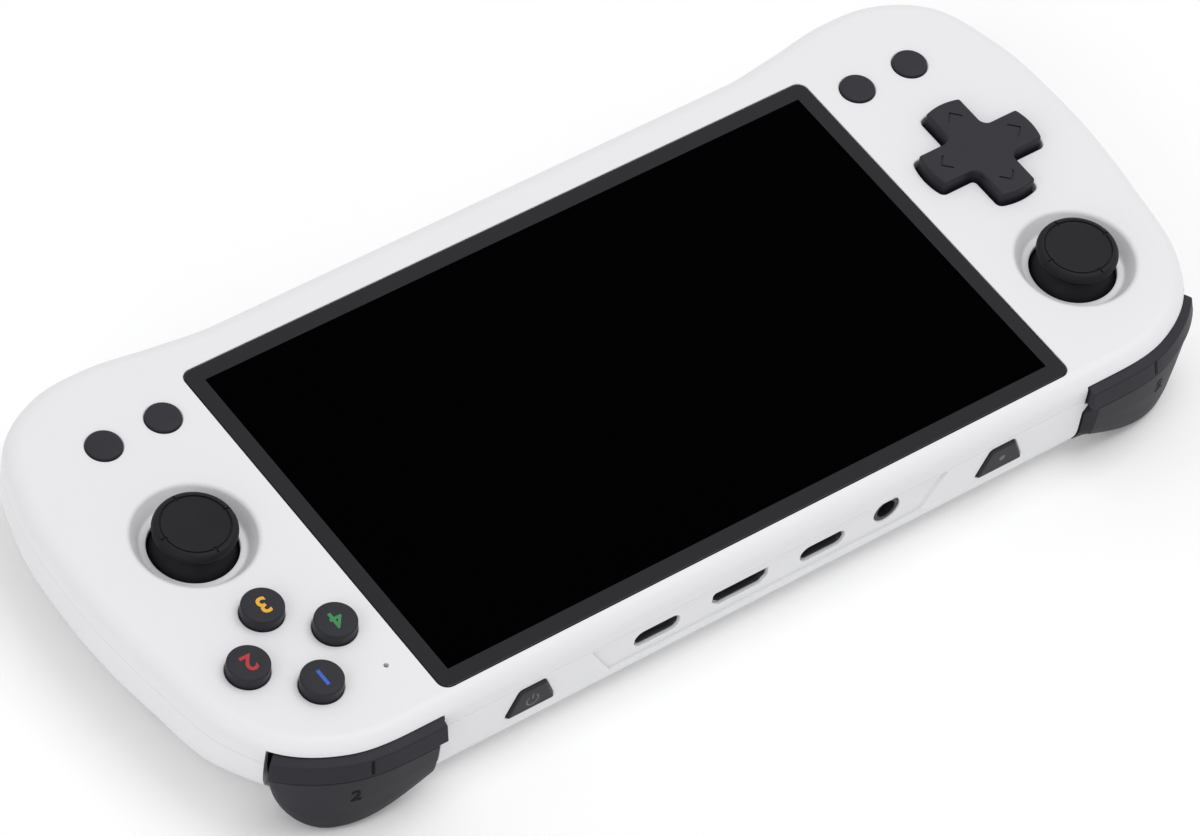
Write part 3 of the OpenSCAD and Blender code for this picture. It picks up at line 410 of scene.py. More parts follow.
def link(name, data):
    """New object in the scene."""
    obj = bpy.data.objects.new(name, data)
    bpy.context.scene.collection.objects.link(obj)
    return obj


def evaluated(obj):
    """Mesh of an object with its modifiers applied."""
    graph = bpy.context.evaluated_depsgraph_get()
    return bpy.data.meshes.new_from_object(obj.evaluated_get(graph))


def piece(name, solid):
    """Object in the scene from a solid in millimetres."""
    verts, faces = solid
    mesh = bpy.data.meshes.new(name)
    mesh.from_pydata([Vector(v) * MM for v in verts], [], faces)
    clean(mesh)
    return link(name, mesh)


def settle(obj):
    """Applies an object's modifiers to its mesh."""
    mesh = evaluated(obj)
    clean(mesh)
    obj.modifiers.clear()
    old, obj.data = obj.data, mesh
    bpy.data.meshes.remove(old)
    mesh.name = obj.name


def carve(obj, operation, *solids):
    """Adds solids to an object or cuts them out of it."""
    tool = piece("tool", merge(*solids))
    step = obj.modifiers.new("carve", "BOOLEAN")
    step.operation = operation
    step.solver = "EXACT"
    step.object = tool
    bpy.context.view_layer.update()
    settle(obj)
    bpy.data.objects.remove(tool)


def dress(obj, body, slot, nodes=(), sharp=32, material=None):
    """Gives a piece its finish, its shading and the body that it moves with."""
    mesh = obj.data
    if not mesh.materials:
        mesh.materials.append(bpy.data.materials[material or slot])
    mesh.shade_smooth()
    mesh.set_sharp_from_angle(angle=math.radians(sharp))
    even = obj.modifiers.new("even shading", "WEIGHTED_NORMAL")
    even.keep_sharp = True
    even.weight = 80
    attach(obj, body)
    if nodes:
        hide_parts(*nodes)
    return obj


def mirrored(solid):
    """The same solid on the other side of the console."""
    verts, faces = solid
    return [(-x, y, z) for x, y, z in verts], [tuple(reversed(face)) for face in faces]


def number_mark(name, text, size, thickness, place):
    """Flat bold number, laid with its centre at a place."""
    curve = bpy.data.curves.new(name, "FONT")
    curve.body = text
    curve.size = size * MM
    curve.extrude = thickness / 2 * MM
    curve.offset = 0.022 * size * MM
    curve.align_x = "CENTER"
    curve.align_y = "CENTER"
    source = link(name + "_curve", curve)
    mesh = evaluated(source)
    bpy.data.objects.remove(source)
    bpy.data.curves.remove(curve)
    mesh.transform(place)
    mesh.materials.clear()
    return link(name, mesh)


# Finishes


def new_nodes(tree, *kinds):
    """Adds shader nodes to a tree."""
    return [tree.nodes.new("ShaderNode" + kind) for kind in kinds]


def wire(tree, *ways):
    """Links nodes of a tree, each way as (node, its output, node, its input)."""
    for start, output, end, socket in ways:
        tree.links.new(start.outputs[output], end.inputs[socket])


def surface_group():
    """Shared node group: two tones in soft patches, patchy roughness and a fine grain."""
    group = bpy.data.node_groups.new("moulded_surface", "ShaderNodeTree")
    for way, kind, names in (
        ("INPUT", "NodeSocketColor", ("Tone", "Second Tone")),
        ("INPUT", "NodeSocketFloat", ("Patch Scale", "Grain Scale", "Smoothest", "Roughest")),
        ("OUTPUT", "NodeSocketColor", ("Color",)),
        ("OUTPUT", "NodeSocketFloat", ("Roughness", "Height")),
    ):
        for name in names:
            group.interface.new_socket(name=name, in_out=way, socket_type=kind)
    given, out = group.nodes.new("NodeGroupInput"), group.nodes.new("NodeGroupOutput")
    place, patch, grain = new_nodes(group, "TexCoord", "TexNoise", "TexNoise")
    for noise, scale, detail in ((patch, "Patch Scale", 3), (grain, "Grain Scale", 2)):
        noise.inputs["Detail"].default_value = detail
        wire(group, (place, "Object", noise, "Vector"), (given, scale, noise, "Scale"))
    for kind, first, second, result in (
        ("RGBA", "Tone", "Second Tone", "Color"),
        ("FLOAT", "Smoothest", "Roughest", "Roughness"),
    ):
        (blend,) = new_nodes(group, "Mix")
        blend.data_type = kind
        wire(group, (patch, "Fac", blend, "Factor"), (blend, "Result", out, result))
        wire(group, (given, first, blend, "A"), (given, second, blend, "B"))
    wire(group, (grain, "Fac", out, "Height"))


def finish(name, tone, contrast, patch, grain, rough, bump, **constants):
    """Material from the shared group; constants go straight on the shader's sockets."""
    material = bpy.data.materials.get(name) or bpy.data.materials.new(name)
    material.use_nodes = True
    tree = material.node_tree
    tree.nodes.clear()
    out, shader, surface, relief = new_nodes(tree, "OutputMaterial", "BsdfPrincipled", "Group", "Bump")
    surface.node_tree = bpy.data.node_groups["moulded_surface"]
    for socket, value in (
        ("Tone", (*tone, 1)),
        ("Second Tone", (*(c * contrast for c in tone), 1)),
        ("Patch Scale", patch),
        ("Grain Scale", grain),
        ("Smoothest", rough[0]),
        ("Roughest", rough[1]),
    ):
        surface.inputs[socket].default_value = value
    relief.inputs["Strength"].default_value = bump
    relief.inputs["Distance"].default_value = 0.05 * MM
    wire(
        tree,
        (surface, "Color", shader, "Base Color"),
        (surface, "Roughness", shader, "Roughness"),
        (surface, "Height", relief, "Height"),
        (relief, "Normal", shader, "Normal"),
        (shader, "BSDF", out, "Surface"),
    )
    for socket, value in constants.items():
        shader.inputs[socket.replace("_", " ")].default_value = value
    return material


def stripes(material, spacing, second, share):
    """Adds straight printed lines of a second colour to a finish."""
    tree = material.node_tree
    surface = next(node for node in tree.nodes if node.type == "GROUP")
    shader = next(node for node in tree.nodes if node.type == "BSDF_PRINCIPLED")
    place, wave, limit, tint = new_nodes(tree, "TexCoord", "TexWave", "Math", "Mix")
    wave.inputs["Scale"].default_value = 1 / (spacing * MM) / 20
    limit.operation = "GREATER_THAN"
    limit.inputs[1].default_value = 1 - share
    tint.data_type = "RGBA"
    tint.inputs["B"].default_value = (*second, 1)
    wire(
        tree,
        (place, "Object", wave, "Vector"),
        (wave, "Fac", limit, 0),
        (limit, "Value", tint, "Factor"),
        (surface, "Color", tint, "A"),
        (tint, "Result", shader, "Base Color"),
    )


class CONSOLE_OT_finishes(bpy.types.Operator):
    """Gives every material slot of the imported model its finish"""

    bl_idname = "console.finishes"
    bl_label = "Finishes"

    def execute(self, context):
        scene = context.scene
        keys = scene.console_keys
        rubber, border = scene.console_sticks.tone, scene.console_screen.border
        # The lever numbers' colour is a fifth of the key grey: painted shade that stands in for the shade
        # inside engraved numbers.
        unlit, engraving_shade = (0.0004, 0.0004, 0.0004), [c * 0.2 for c in keys.tone]
        surface_group()
        # Name, tone, second tone's share of it, patch scale, grain scale, roughness, bump
        finish("shell_white", scene.console_shell.tone, 0.985, 60, 5200, (0.42, 0.52), 0.10)
        finish("key_plastic", keys.tone, 0.85, 180, 6500, (0.46, 0.58), 0.12, Specular_IOR_Level=0.25)
        finish("stick_rubber", rubber, 0.8, 220, 7000, (0.50, 0.62), 0.15, Specular_IOR_Level=0.19)
        finish("screen_glass", border, 0.9, 30, 900, (0.06, 0.10), 0.01, Specular_IOR_Level=0.20)
        finish("lit_area", unlit, 0.6, 20, 900, (0.05, 0.08), 0.01, Specular_IOR_Level=0.004)
        finish("display_black", (0.006, 0.006, 0.007), 0.7, 90, 3000, (0.30, 0.45), 0.05)
        finish("membrane_rubber", (0.56, 0.56, 0.53), 0.9, 200, 3500, (0.55, 0.7), 0.2)
        film = finish("ribbon_film", (0.42, 0.20, 0.045), 0.8, 160, 3000, (0.25, 0.4), 0.08)
        stripes(film, 0.5, (0.20, 0.08, 0.02), 0.5)
        board = finish("board_green", (0.012, 0.10, 0.045), 0.7, 260, 3800, (0.28, 0.42), 0.15)
        stripes(board, 0.9, (0.02, 0.16, 0.07), 0.35)
        finish("battery_wrap", (0.045, 0.07, 0.26), 0.8, 70, 2500, (0.25, 0.4), 0.1)
        finish("pad_foam", (0.72, 0.72, 0.70), 0.85, 300, 5000, (0.8, 0.95), 0.5)
        finish("plated_steel", (0.56, 0.56, 0.58), 0.85, 300, 5200, (0.22, 0.36), 0.06, Metallic=1.0)
        finish("ivory_plastic", (0.66, 0.64, 0.55), 0.92, 150, 4000, (0.4, 0.5), 0.1)
        finish("black_plastic", (0.010, 0.010, 0.011), 0.8, 150, 4500, (0.4, 0.55), 0.12)
        for name in ("yellow", "green", "red", "blue"):
            finish("print_" + name, getattr(keys, name), 0.9, 400, 6000, (0.35, 0.45), 0.05)
        # Painted shade: darker finish for the flat lever numbers, in place of the shade in their
        # engraving.
        finish("print_dark", engraving_shade, 0.8, 400, 6000, (0.4, 0.5), 0.05, Specular_IOR_Level=0.1)
        finish("print_grey", (0.09, 0.09, 0.10), 0.9, 400, 6000, (0.35, 0.45), 0.05)
        return {"FINISHED"}


# Shoulder levers

BUMPER_IN, TRIGGER_IN, TRIGGER_LEAD = 65.8, 67.4, 1.4
BUMPER_END, TRIGGER_END, CUT_END = 0.165, 0.155, 0.29
BUMPER_PROUD = 2.1
LEVER_DEPTH, LEVER_SWEEP, LEVER_GAP = 4, 8, 0.3
CEILING = BODY_TOP - 2
BUMPER_TOP = CEILING - LEVER_GAP
CREASE, CREASE_PROUD = BODY_TOP - 2.9, 1.3
SPLIT = BODY_TOP - 6.1
TRIGGER_TOP = SPLIT - LEVER_GAP
TAIL, LOBE, ROOT, LOBE_END = BODY_TOP - 13.8, BODY_TOP - 19.8, BODY_TOP - 17, BODY_TOP - 8.8
LOBE_AT, TUCK_FROM, TUCK_TO = 0.66, 0.62, 1
EDGE_PROUD, EDGE_TUCK, ROOT_IN, BOW, SWING, LEAD_DROP = 1.2, 0.2, 2.9, 0.25, 1.3, 2.2


def corner_path(start, end, lead=0, steps=18):
    """Path of the body's corner, as (point, outward direction, length so far)."""
    points = [Vector((start, PORT_WALL))]
    if lead:
        points.insert(0, Vector((start - lead, PORT_WALL)))
    points += [on_outline(k, j / steps) for k in (0, 1) for j in range(steps)]
    points += [on_outline(2, end * j / steps) for j in range(steps + 1)]
    path, run = [], 0
    for k, here in enumerate(points):
        back = (here - points[k - 1]).normalized() if k else Vector((1, 0))
        ahead = (points[k + 1] - here).normalized() if k + 1 < len(points) else back
        run += (here - points[k - 1]).length if k else 0
        path.append((here, left_of(back + ahead).normalized(), run))
    return path


def trigger_low(s):
    """Lower edge of the trigger at the share s of its length."""
    if s < LOBE_AT:
        return mix(TAIL, LOBE, math.sin(math.pi / 2 * s / LOBE_AT))
    return mix(LOBE, LOBE_END, 1 - math.sqrt(max(0, 1 - ((s - LOBE_AT) / (1 - LOBE_AT)) ** 2)))


def trigger_root(s):
    """Underside of the trigger at the wall."""
    return ROOT if s < LOBE_AT else max(ROOT, trigger_low(s))


def trigger_profile(s):
    """Section of the trigger as (outward, height) points with rounded edges."""
    low, root = trigger_low(s), trigger_root(s)
    edge = mix(EDGE_PROUD, -EDGE_TUCK, ease((s - TUCK_FROM) / (TUCK_TO - TUCK_FROM)))
    knee = max(root + 0.2, TAIL)
    out = BUMPER_PROUD - 0.2
    points = [
        (-ROOT_IN, root),
        (-ROOT_IN, knee),
        (-LEVER_DEPTH, knee),
        (-LEVER_DEPTH, TRIGGER_TOP),
        (out, TRIGGER_TOP),
        (mix(out, edge, 0.4) + BOW, mix(TRIGGER_TOP, low, 0.4)),
        (mix(out, edge, 0.75) + BOW, mix(TRIGGER_TOP, low, 0.75)),
        (edge, mix(TRIGGER_TOP, low, 0.95)),
        (edge - 0.7, low),
        (-1.2, root),
    ]
    rounded = fillet(points, [0, 0, 0, 0, 0.3, 9, 9, 1, 1, 0.6], 4)
    if s > 0:
        return rounded
    return [(min(u, 0.1), min(v, TRIGGER_TOP - LEAD_DROP)) for u, v in rounded]


BUMPER_PROFILE = fillet(
    [
        (-LEVER_DEPTH, SPLIT),
        (-LEVER_DEPTH, BUMPER_TOP),
        (-0.3, BUMPER_TOP),
        (CREASE_PROUD, CREASE),
        (BUMPER_PROUD, SPLIT),
    ],
    [0, 0, 0.25, 0.45, 0.2],
    4,
)


def swept(path, profile_at, ends, end_round=0.15):
    """Solid through a section at every station of a path; ends lists the stations to ease."""
    total = path[-1][2]
    stations = [(point, out, profile_at(min(1, run / total))) for point, out, run in path]
    for which in ends:
        point, out, profile = stations[which]
        along = left_of(out) * (1 if which == 0 else -1)
        eased = []
        for k in range(4):
            angle = math.pi / 2 * k / 3
            inset = -end_round * (1 - math.sin(angle))
            shift = end_round * (1 - math.cos(angle))
            eased.append((point - along * shift, out, grow_section(profile, inset)))
        if which == 0:
            stations = eased + stations[1:]
        else:
            stations = stations[:-1] + list(reversed(eased))
    return stack([section_ring(*station) for station in stations])


def section_ring(point, out, section):
    """Corners of an upright section of (outward, height) points."""
    return [(*(point + out * u), v) for u, v in section]


def grow_section(profile, by):
    """Moves the sides of a clockwise section outwards."""
    return list(reversed(grow(list(reversed(profile)), by))) if by else profile


def shoulder_space():
    """Room that the right levers move in, cut out of both covers."""
    path = corner_path(BUMPER_IN - LEVER_GAP, CUT_END)
    total = corner_path(TRIGGER_IN, TRIGGER_END, TRIGGER_LEAD)[-1][2]
    lead = TRIGGER_IN - TRIGGER_LEAD - BUMPER_IN + LEVER_GAP
    rings = []
    for point, out, run in path:
        s = min(1, max(0, (run - lead) / total))
        behind = max(0, s - SWING / total)
        low = min(f(t) for f in (trigger_low, trigger_root) for t in (s, behind)) - LEVER_GAP
        knee = max(low + 0.2, TAIL - LEVER_GAP)
        inner = -(ROOT_IN + LEVER_GAP + SWING * s)
        section = [
            (inner, low),
            (inner, knee),
            (-LEVER_SWEEP, knee),
            (-LEVER_SWEEP, CEILING),
            (LEVER_SWEEP, CEILING),
            (LEVER_SWEEP, low),
        ]
        rings.append(section_ring(point, out, section))
    return stack(rings)


PIN_AT = (TRIGGER_IN + 2.6, PORT_WALL - 5.7)
BORE_R, BOSS_R, BOSS_NECK, BOSS_INSET = 1.05, 2.2, PORT_WALL - 2, 0.05


def lever_boss(low, high):
    """Pivot boss of a right lever round its pin."""
    around = disc(BOSS_R, PIN_AT, 48)
    outline = around[24:] + around[:1] + [(PIN_AT[0] + BOSS_R, BOSS_NECK), (PIN_AT[0] - BOSS_R, BOSS_NECK)]
    return levels(outline, [(0, low + BOSS_INSET), (0, high - BOSS_INSET)])


class CONSOLE_OT_levers(bpy.types.Operator):
    """Builds the bumpers and triggers with their pivot bosses and numbers"""

    bl_idname = "console.levers"
    bl_label = "Shoulder levers"

    def execute(self, context):
        bore = levels(disc(BORE_R, PIN_AT, 48), [(0, TAIL - 1), (0, BODY_TOP)])
        bumper_path = corner_path(BUMPER_IN, BUMPER_END)
        trigger_path = corner_path(TRIGGER_IN, TRIGGER_END, TRIGGER_LEAD)
        bumper = swept(bumper_path, lambda s: BUMPER_PROFILE, (0, -1))
        trigger = swept(trigger_path, trigger_profile, (-1,))
        slope = math.atan((BUMPER_PROUD - CREASE_PROUD) / (CREASE - SPLIT))
        bumper_spot = ((CREASE_PROUD + BUMPER_PROUD) / 2 + 0.02, (CREASE + SPLIT) / 2)
        trigger_spot = (BUMPER_PROUD - 0.19, SPLIT - 4.5)
        for side, name in ((LEFT, "left"), (RIGHT, "right")):
            for kind, solid, boss in (
                ("bumper", bumper, lever_boss(SPLIT, BUMPER_TOP)),
                ("trigger", trigger, lever_boss(TAIL, TRIGGER_TOP)),
            ):
                node = f"{kind}_{name}"
                obj = piece(node + "_lever", mirrored(solid))
                carve(obj, "UNION", mirrored(boss))
                carve(obj, "DIFFERENCE", mirrored(bore))
                if side == RIGHT:
                    obj.data.transform(Matrix.Scale(-1, 4, (1, 0, 0)))
                    obj.data.flip_normals()
                dress(obj, node, "key_plastic", [node])
            self.number(bumper_path, 0.46, bumper_spot, slope, "1", "bumper_" + name, side)
            self.number(trigger_path, 0.54, trigger_spot, 0, "2", "trigger_" + name, side)
        return {"FINISHED"}

    def number(self, path, share, spot, slope, text, node, side):
        """Lays a number on the outer face of a lever, at an (outward, height) spot of its section."""
        point, out, _run = min(path, key=lambda station: abs(station[2] - share * path[-1][2]))
        out = Vector((out.x * side, out.y, 0))
        at = Vector((point.x * side, point.y, spot[1])) + out * spot[0]
        across = Vector((0, 0, 1)).cross(out)
        face = out * math.cos(slope) + Vector((0, 0, math.sin(slope)))
        turn = Matrix((across, face.cross(across), face)).transposed().to_4x4()
        place = Matrix.Translation(at * MM) @ turn
        mark = number_mark(node + "_number", text, size=3.6, thickness=0.1, place=place)
        # The flat number carries painted shade: its darker colour stands in for the shade inside an
        # engraved number.
        dress(mark, node, "key_plastic", material="print_dark")


# Covers

STICK_HOLE_R, DISH_R, DISH_FOOT_R, DISH_LIP, DISH_LIP_R = 7.55, 10.5, 8.75, 0.9, 10.35
DISH_Z = BODY_TOP - 2.8
STICKS = {side: middle("stick_shaft_" + side) for side in ("left", "right")}
FACE_KEYS = ("top", "bottom", "left", "right")
FUNCTION_KEYS = ("left_outer", "left_inner", "right_inner", "right_outer")
PAD_AT = middle("direction_pad")
MIC_AT = middle("microphone")
MIC_R = 0.45
GLASS_GAP = 0.15
LEDGE = 1.7
EDGE_KEYS = {"power_button": "power", "reset_button": "reset"}
EDGE_KEY_FOOT, EDGE_KEY_TIP = 9.7, 4.9
PANEL_DEPTH, PORT_GAP = 0.5, 0.15
PORT_PANEL = [(-31.85, 7), (31.85, 7), (36.5, 14.7), (-36.5, 14.7)]
USB_MOUTH, HDMI_MOUTH = (8.94, 3.26), (11, 3.2)
JACK_R, JACK_Z = 2.65, 11.4
USB_TONGUE, HDMI_TONGUE = (6.7, 0.7), (8.4, 0.6)
CARD_SLOT = (11.6, 1.6)
SPEAKER_SLOT, SPEAKER_PITCH = (1.2, 3.8), 3
SCREWS_AT = [
    (side * x, y)
    for side in (LEFT, RIGHT)
    for x, y in ((92.5, 8.7), (89.5, -30.26), (66.78, -34.46), (66.78, 26.7))
]
SCREW_WELL = [(0, -1), (2.35, -1), (2.35, 0), (2.1, 0.25), (2.1, 3.5), (1.1, 3.5), (1.1, 5), (0, 5)]


def usb_outline(at, grown=0):
    """Flat-sided oval of a USB-C mouth."""
    w, h = USB_MOUTH
    return grow(rectangle(w, h, h / 2 - 1e-3, at, 12), grown)


def hdmi_outline(at, grown=0):
    """Mouth of the HDMI socket with its cut lower corners."""
    w, h = HDMI_MOUTH[0] / 2, HDMI_MOUTH[1] / 2
    corners = [(-w + 1.4, -h), (w - 1.4, -h), (w, -h + 1.2), (w, h), (-w, h), (-w, -h + 1.2)]
    return grow(fillet([(at[0] + x, at[1] + z) for x, z in corners], [0.4] * 6, 3), grown)


def port_sockets(grown=0):
    """Node, outline of the mouth and outline of the tongue of each socket in the port wall."""
    for node in ("usb_socket_left", "usb_socket_right"):
        at = middle(node, "xz")
        yield node, usb_outline(at, grown), rectangle(*USB_TONGUE, 0.2, at, 3)
    x, z = middle("hdmi_socket")[0], span("hdmi_socket")[1].z - HDMI_MOUTH[1] / 2
    yield "hdmi_socket", hdmi_outline((x, z), grown), rectangle(*HDMI_TONGUE, 0.15, (x, z + 0.2), 3)


def edge_key_outline(x, grown=0):
    """Front of the power and reset buttons."""
    low, high = span("power_button")
    foot, tip, z0, z1 = EDGE_KEY_FOOT / 2, EDGE_KEY_TIP / 2, low.z + 1.05, high.z - 1.4
    corners = [(x - foot, z0), (x + foot, z0), (x + tip, z1), (x - tip, z1)]
    return grow(fillet(corners, [0.45, 0.45, 0.7, 0.7], 4), grown)


class CONSOLE_OT_covers(bpy.types.Operator):
    """Builds the front and back covers with all their openings"""

    bl_idname = "console.covers"
    bl_label = "Covers"

    def execute(self, context):
        self.shell = context.scene.console_shell
        self.keys = context.scene.console_keys
        self.screen = context.scene.console_screen
        self.points, self.outs = body_outline()
        self.front_cover()
        self.back_cover()
        return {"FINISHED"}

    def ring(self, inset, height):
        """Body outline moved in by inset, at a height."""
        return [(*(p - out * inset), height) for p, out in zip(self.points, self.outs)]

    def back_ring(self, angle, skin):
        """Ring of the back's rounding, for a surface that lies skin inside the outer one."""
        ring = []
        for point, out in zip(self.points, self.outs):
            radius = self.back_round(out) - skin
            inset = skin + radius * (1 - math.sin(angle))
            ring.append((*(point - out * inset), skin + radius * (1 - math.cos(angle))))
        return ring

    def back_round(self, out):
        """Rounding of the back where the outline faces out."""
        turn = 0.6
        shell = self.shell
        grip, shoulder, port = shell.grip_round / MM, shell.shoulder_round / MM, shell.port_round / MM
        up = max(0, out.y)
        if up < turn:
            return mix(grip, shoulder, ease(up / turn))
        return mix(shoulder, port, ease((up - turn) / (1 - turn)))

    def front_cover(self):
        """Front face with the openings of its controls."""
        shell, keys = self.shell, self.keys
        wall, rounding = shell.wall / MM, shell.front_round / MM
        edge, foot = shell.seam_break / MM, SEAM + shell.seam_gap / MM
        inner = rounding - wall
        rings = [
            self.ring(wall + inner, CEILING),
            self.ring(wall, CEILING - inner),
            self.ring(wall, foot),
            self.ring(edge, foot),
            self.ring(0, foot + edge),
            self.ring(0, BODY_TOP - rounding),
        ]
        rings += [self.ring(-by, height) for by, height in rounded_edge(rounding, BODY_TOP, 10)]
        cover = piece("front_cover", stack(rings))
        lip = [(0, DISH_Z - DISH_LIP), (0, CEILING + 0.5)]
        carve(cover, "UNION", *(levels(disc(DISH_LIP_R, at, 96), lip) for at in STICKS.values()))
        chamfer = shell.hole_break / MM
        cuts = [self.dish(at) for at in STICKS.values()]
        glass_low, glass_high = span("screen_glass")
        w, h = glass_high.x - glass_low.x, glass_high.y - glass_low.y
        at = middle("screen_glass")
        corner = self.screen.corner / MM
        pocket = rectangle(w + 2 * GLASS_GAP, h + 2 * GLASS_GAP, corner + GLASS_GAP, at)
        ledge = glass_low.z - 0.2
        cuts.append(hole(pocket, ledge, BODY_TOP, 0.1))
        round_keys = [("face_button_" + k, keys.face_r) for k in FACE_KEYS]
        round_keys += [("function_button_" + k, keys.function_r) for k in FUNCTION_KEYS]
        for node, radius in round_keys:
            cuts.append(hole(disc((radius + keys.gap) / MM, middle(node), 72), SEAM, BODY_TOP, chamfer))
        pad = cross(keys.arm / MM, keys.reach / MM, keys.fillet / MM, PAD_AT)
        cuts.append(hole(grow(pad, keys.pad_gap / MM), SEAM, BODY_TOP, chamfer))
        cuts.append(hole(disc(MIC_R, MIC_AT, 24), SEAM, BODY_TOP, 0.05))
        carve(cover, "DIFFERENCE", *cuts)
        window = rectangle(w - 2 * LEDGE, h - 2 * LEDGE, corner / 2, at)
        space = shoulder_space()
        carve(cover, "DIFFERENCE", levels(window, [(0, SEAM), (0, ledge + 0.5)]), space, mirrored(space))
        dress(cover, "case", "shell_white", ["front_shell"])

    def dish(self, at):
        """Cutter for a stick's dish with a soft rim."""
        rim = [
            (0, DISH_Z - DISH_LIP - 1),
            (STICK_HOLE_R, DISH_Z - DISH_LIP - 1),
            (STICK_HOLE_R, DISH_Z),
            (DISH_FOOT_R, DISH_Z),
            (DISH_R, BODY_TOP),
            (DISH_R + 3, BODY_TOP + 0.004),
        ]
        profile = fillet(rim, [0, 0, 0.2, 0.7, self.shell.dish_round / MM, 0], 8, closed=False)[:-1]
        last = profile[-1][0]
        return turned(profile + [(last, BODY_TOP + 1), (0, BODY_TOP + 1)], at, 128)

    def back_cover(self):
        """Back and walls with the ports, slots and screw wells."""
        shell = self.shell
        wall = shell.wall / MM
        edge, top = shell.seam_break / MM, SEAM - shell.seam_gap / MM
        outer = [math.pi / 2 * k / 16 for k in range(17)]
        inner = [math.pi / 2 * (1 - k / 6) for k in range(7)]
        rings = [self.back_ring(a, 0) for a in outer]
        rings += [self.ring(0, top - edge), self.ring(edge, top), self.ring(wall, top)]
        rings += [self.back_ring(a, wall) for a in inner]
        cover = piece("back_cover", stack(rings))
        face = PORT_WALL - PANEL_DEPTH
        panel = fillet(PORT_PANEL, [0.3] * 4, 3)
        carve(cover, "DIFFERENCE", levels(panel, [(0, face), (0, PORT_WALL + 1)], "Y"))
        inside = PORT_WALL - wall - 1
        chamfer, lip = shell.hole_break / MM, 0.5 * shell.hole_break / MM
        cuts = [hole(mouth, inside, face, lip, "Y") for _node, mouth, _tongue in port_sockets(PORT_GAP)]
        jack = disc(JACK_R, (middle("audio_jack")[0], JACK_Z), 64)
        cuts.append(hole(jack, inside, face, chamfer, "Y"))
        for node in EDGE_KEYS:
            outline = edge_key_outline(middle(node)[0], PORT_GAP)
            cuts.append(hole(outline, inside, PORT_WALL, chamfer, "Y"))
        slots = [rectangle(*CARD_SLOT, 0.3, (middle("card_socket")[0], span("card_socket")[0].z + 1))]
        for node in ("speaker_left", "speaker_right"):
            x, z = middle(node)[0], span(node)[0].z + 3.3
            slots += [rectangle(*SPEAKER_SLOT, 0.59, (x + SPEAKER_PITCH * k, z), 6) for k in range(-2, 3)]
        through = [(0, -WAIST_REACH - 3), (0, -WAIST_REACH + wall + 1)]
        cuts += [levels(slot, through, "Y") for slot in slots]
        cuts += [turned(SCREW_WELL, at, 48) for at in SCREWS_AT]
        carve(cover, "DIFFERENCE", *cuts)
        space = shoulder_space()
        carve(cover, "DIFFERENCE", space, mirrored(space))
        wedge = self.notch_wedge()
        carve(cover, "UNION", wedge, mirrored(wedge))
        dress(cover, "case", "shell_white", ["back_shell"])

    def notch_wedge(self):
        """Bit of the wall that shows in the notch between the right bumper and trigger."""
        start, top = BUMPER_IN - LEVER_GAP - 0.5, SPLIT - LEVER_GAP
        foot = top - LEAD_DROP
        corners = [(start, foot), (start + 0.6, foot + 0.2), (TRIGGER_IN - 0.5, top), (start, top)]
        return levels(corners, [(0, PORT_WALL - 3), (0, PORT_WALL - 0.05)], "Y")


# Screen


class CONSOLE_OT_screen(bpy.types.Operator):
    """Builds the cover glass with its ground edge and printed border"""

    bl_idname = "console.screen"
    bl_label = "Screen"

    def execute(self, context):
        screen = context.scene.console_screen
        low, high = span("screen_glass")
        at = middle("screen_glass")
        edge = screen.edge / MM
        outline = rectangle(high.x - low.x, high.y - low.y, screen.corner / MM, at, 10)
        lit = rectangle(screen.active_w / MM, screen.active_h / MM, 0.15, at, 10)
        rings = [
            [(x, y, low.z) for x, y in outline],
            [(x, y, high.z - edge) for x, y in outline],
            [(x, y, high.z - 0.3 * edge) for x, y in grow(outline, -0.3 * edge)],
            [(x, y, high.z) for x, y in grow(outline, -edge)],
            [(x, y, high.z) for x, y in lit],
        ]
        glass = piece("cover_glass", stack(rings))
        for slot in ("screen_glass", "lit_area"):
            glass.data.materials.append(bpy.data.materials[slot])
        count = len(outline)
        for face in glass.data.polygons:
            inside = face.center.z > (high.z - 1e-3) * MM and len(face.vertices) == count
            face.material_index = int(inside)
        dress(glass, "case", "screen_glass", ["screen_glass"], sharp=20)
        return {"FINISHED"}


# Buttons


class CONSOLE_OT_round_buttons(bpy.types.Operator):
    """Builds the face buttons with their numbers and the function buttons"""

    bl_idname = "console.round_buttons"
    bl_label = "Round buttons"

    def execute(self, context):
        keys = context.scene.console_keys
        for place, number, print_name in (
            ("top", "1", "print_blue"),
            ("right", "2", "print_red"),
            ("bottom", "3", "print_yellow"),
            ("left", "4", "print_green"),
        ):
            node, body = "face_button_" + place, "face_" + place
            self.button(node, body, keys.face_r / MM, keys.face_round / MM)
            at, top = middle(node), span(node)[1].z
            spot = Matrix.Translation(Vector((*at, top - 0.02)) * MM)
            mark = number_mark(node + "_number", number, size=4.4, thickness=0.08, place=spot)
            dress(mark, body, "key_plastic", material=print_name)
        for place in FUNCTION_KEYS:
            node, body = "function_button_" + place, "function_" + place
            self.button(node, body, keys.function_r / MM, keys.function_round / MM)
        return {"FINISHED"}

    def button(self, node, body, radius, rounding):
        """Turned button with its flange and stem."""
        low, high = span(node)
        stem, collar = 2.5, radius + 0.8
        flange = low.z + 1.6
        shoulder = flange + 1.2
        profile = [
            (0, low.z),
            (stem, low.z),
            (stem, flange),
            (collar, flange),
            (collar, shoulder),
            (radius, shoulder),
            (radius, high.z - 0.06),
            (radius * 0.62, high.z),
            (0, high.z),
        ]
        profile = fillet(profile, [0, 0, 0, 0.2, 0.2, 0, rounding, 4, 0], 8, closed=False)
        dress(piece(node + "_key", turned(profile, middle(node))), body, "key_plastic", [node])


# Section of the pad's pivot seat and flange, upwards from its lowest point
PAD_SEAT = [(0, 2.25), (1.65, 0.6), (1.65, 0), (3, 0), (3, 0.9), (12.15, 0.9), (12.15, 2.1), (0, 2.1)]


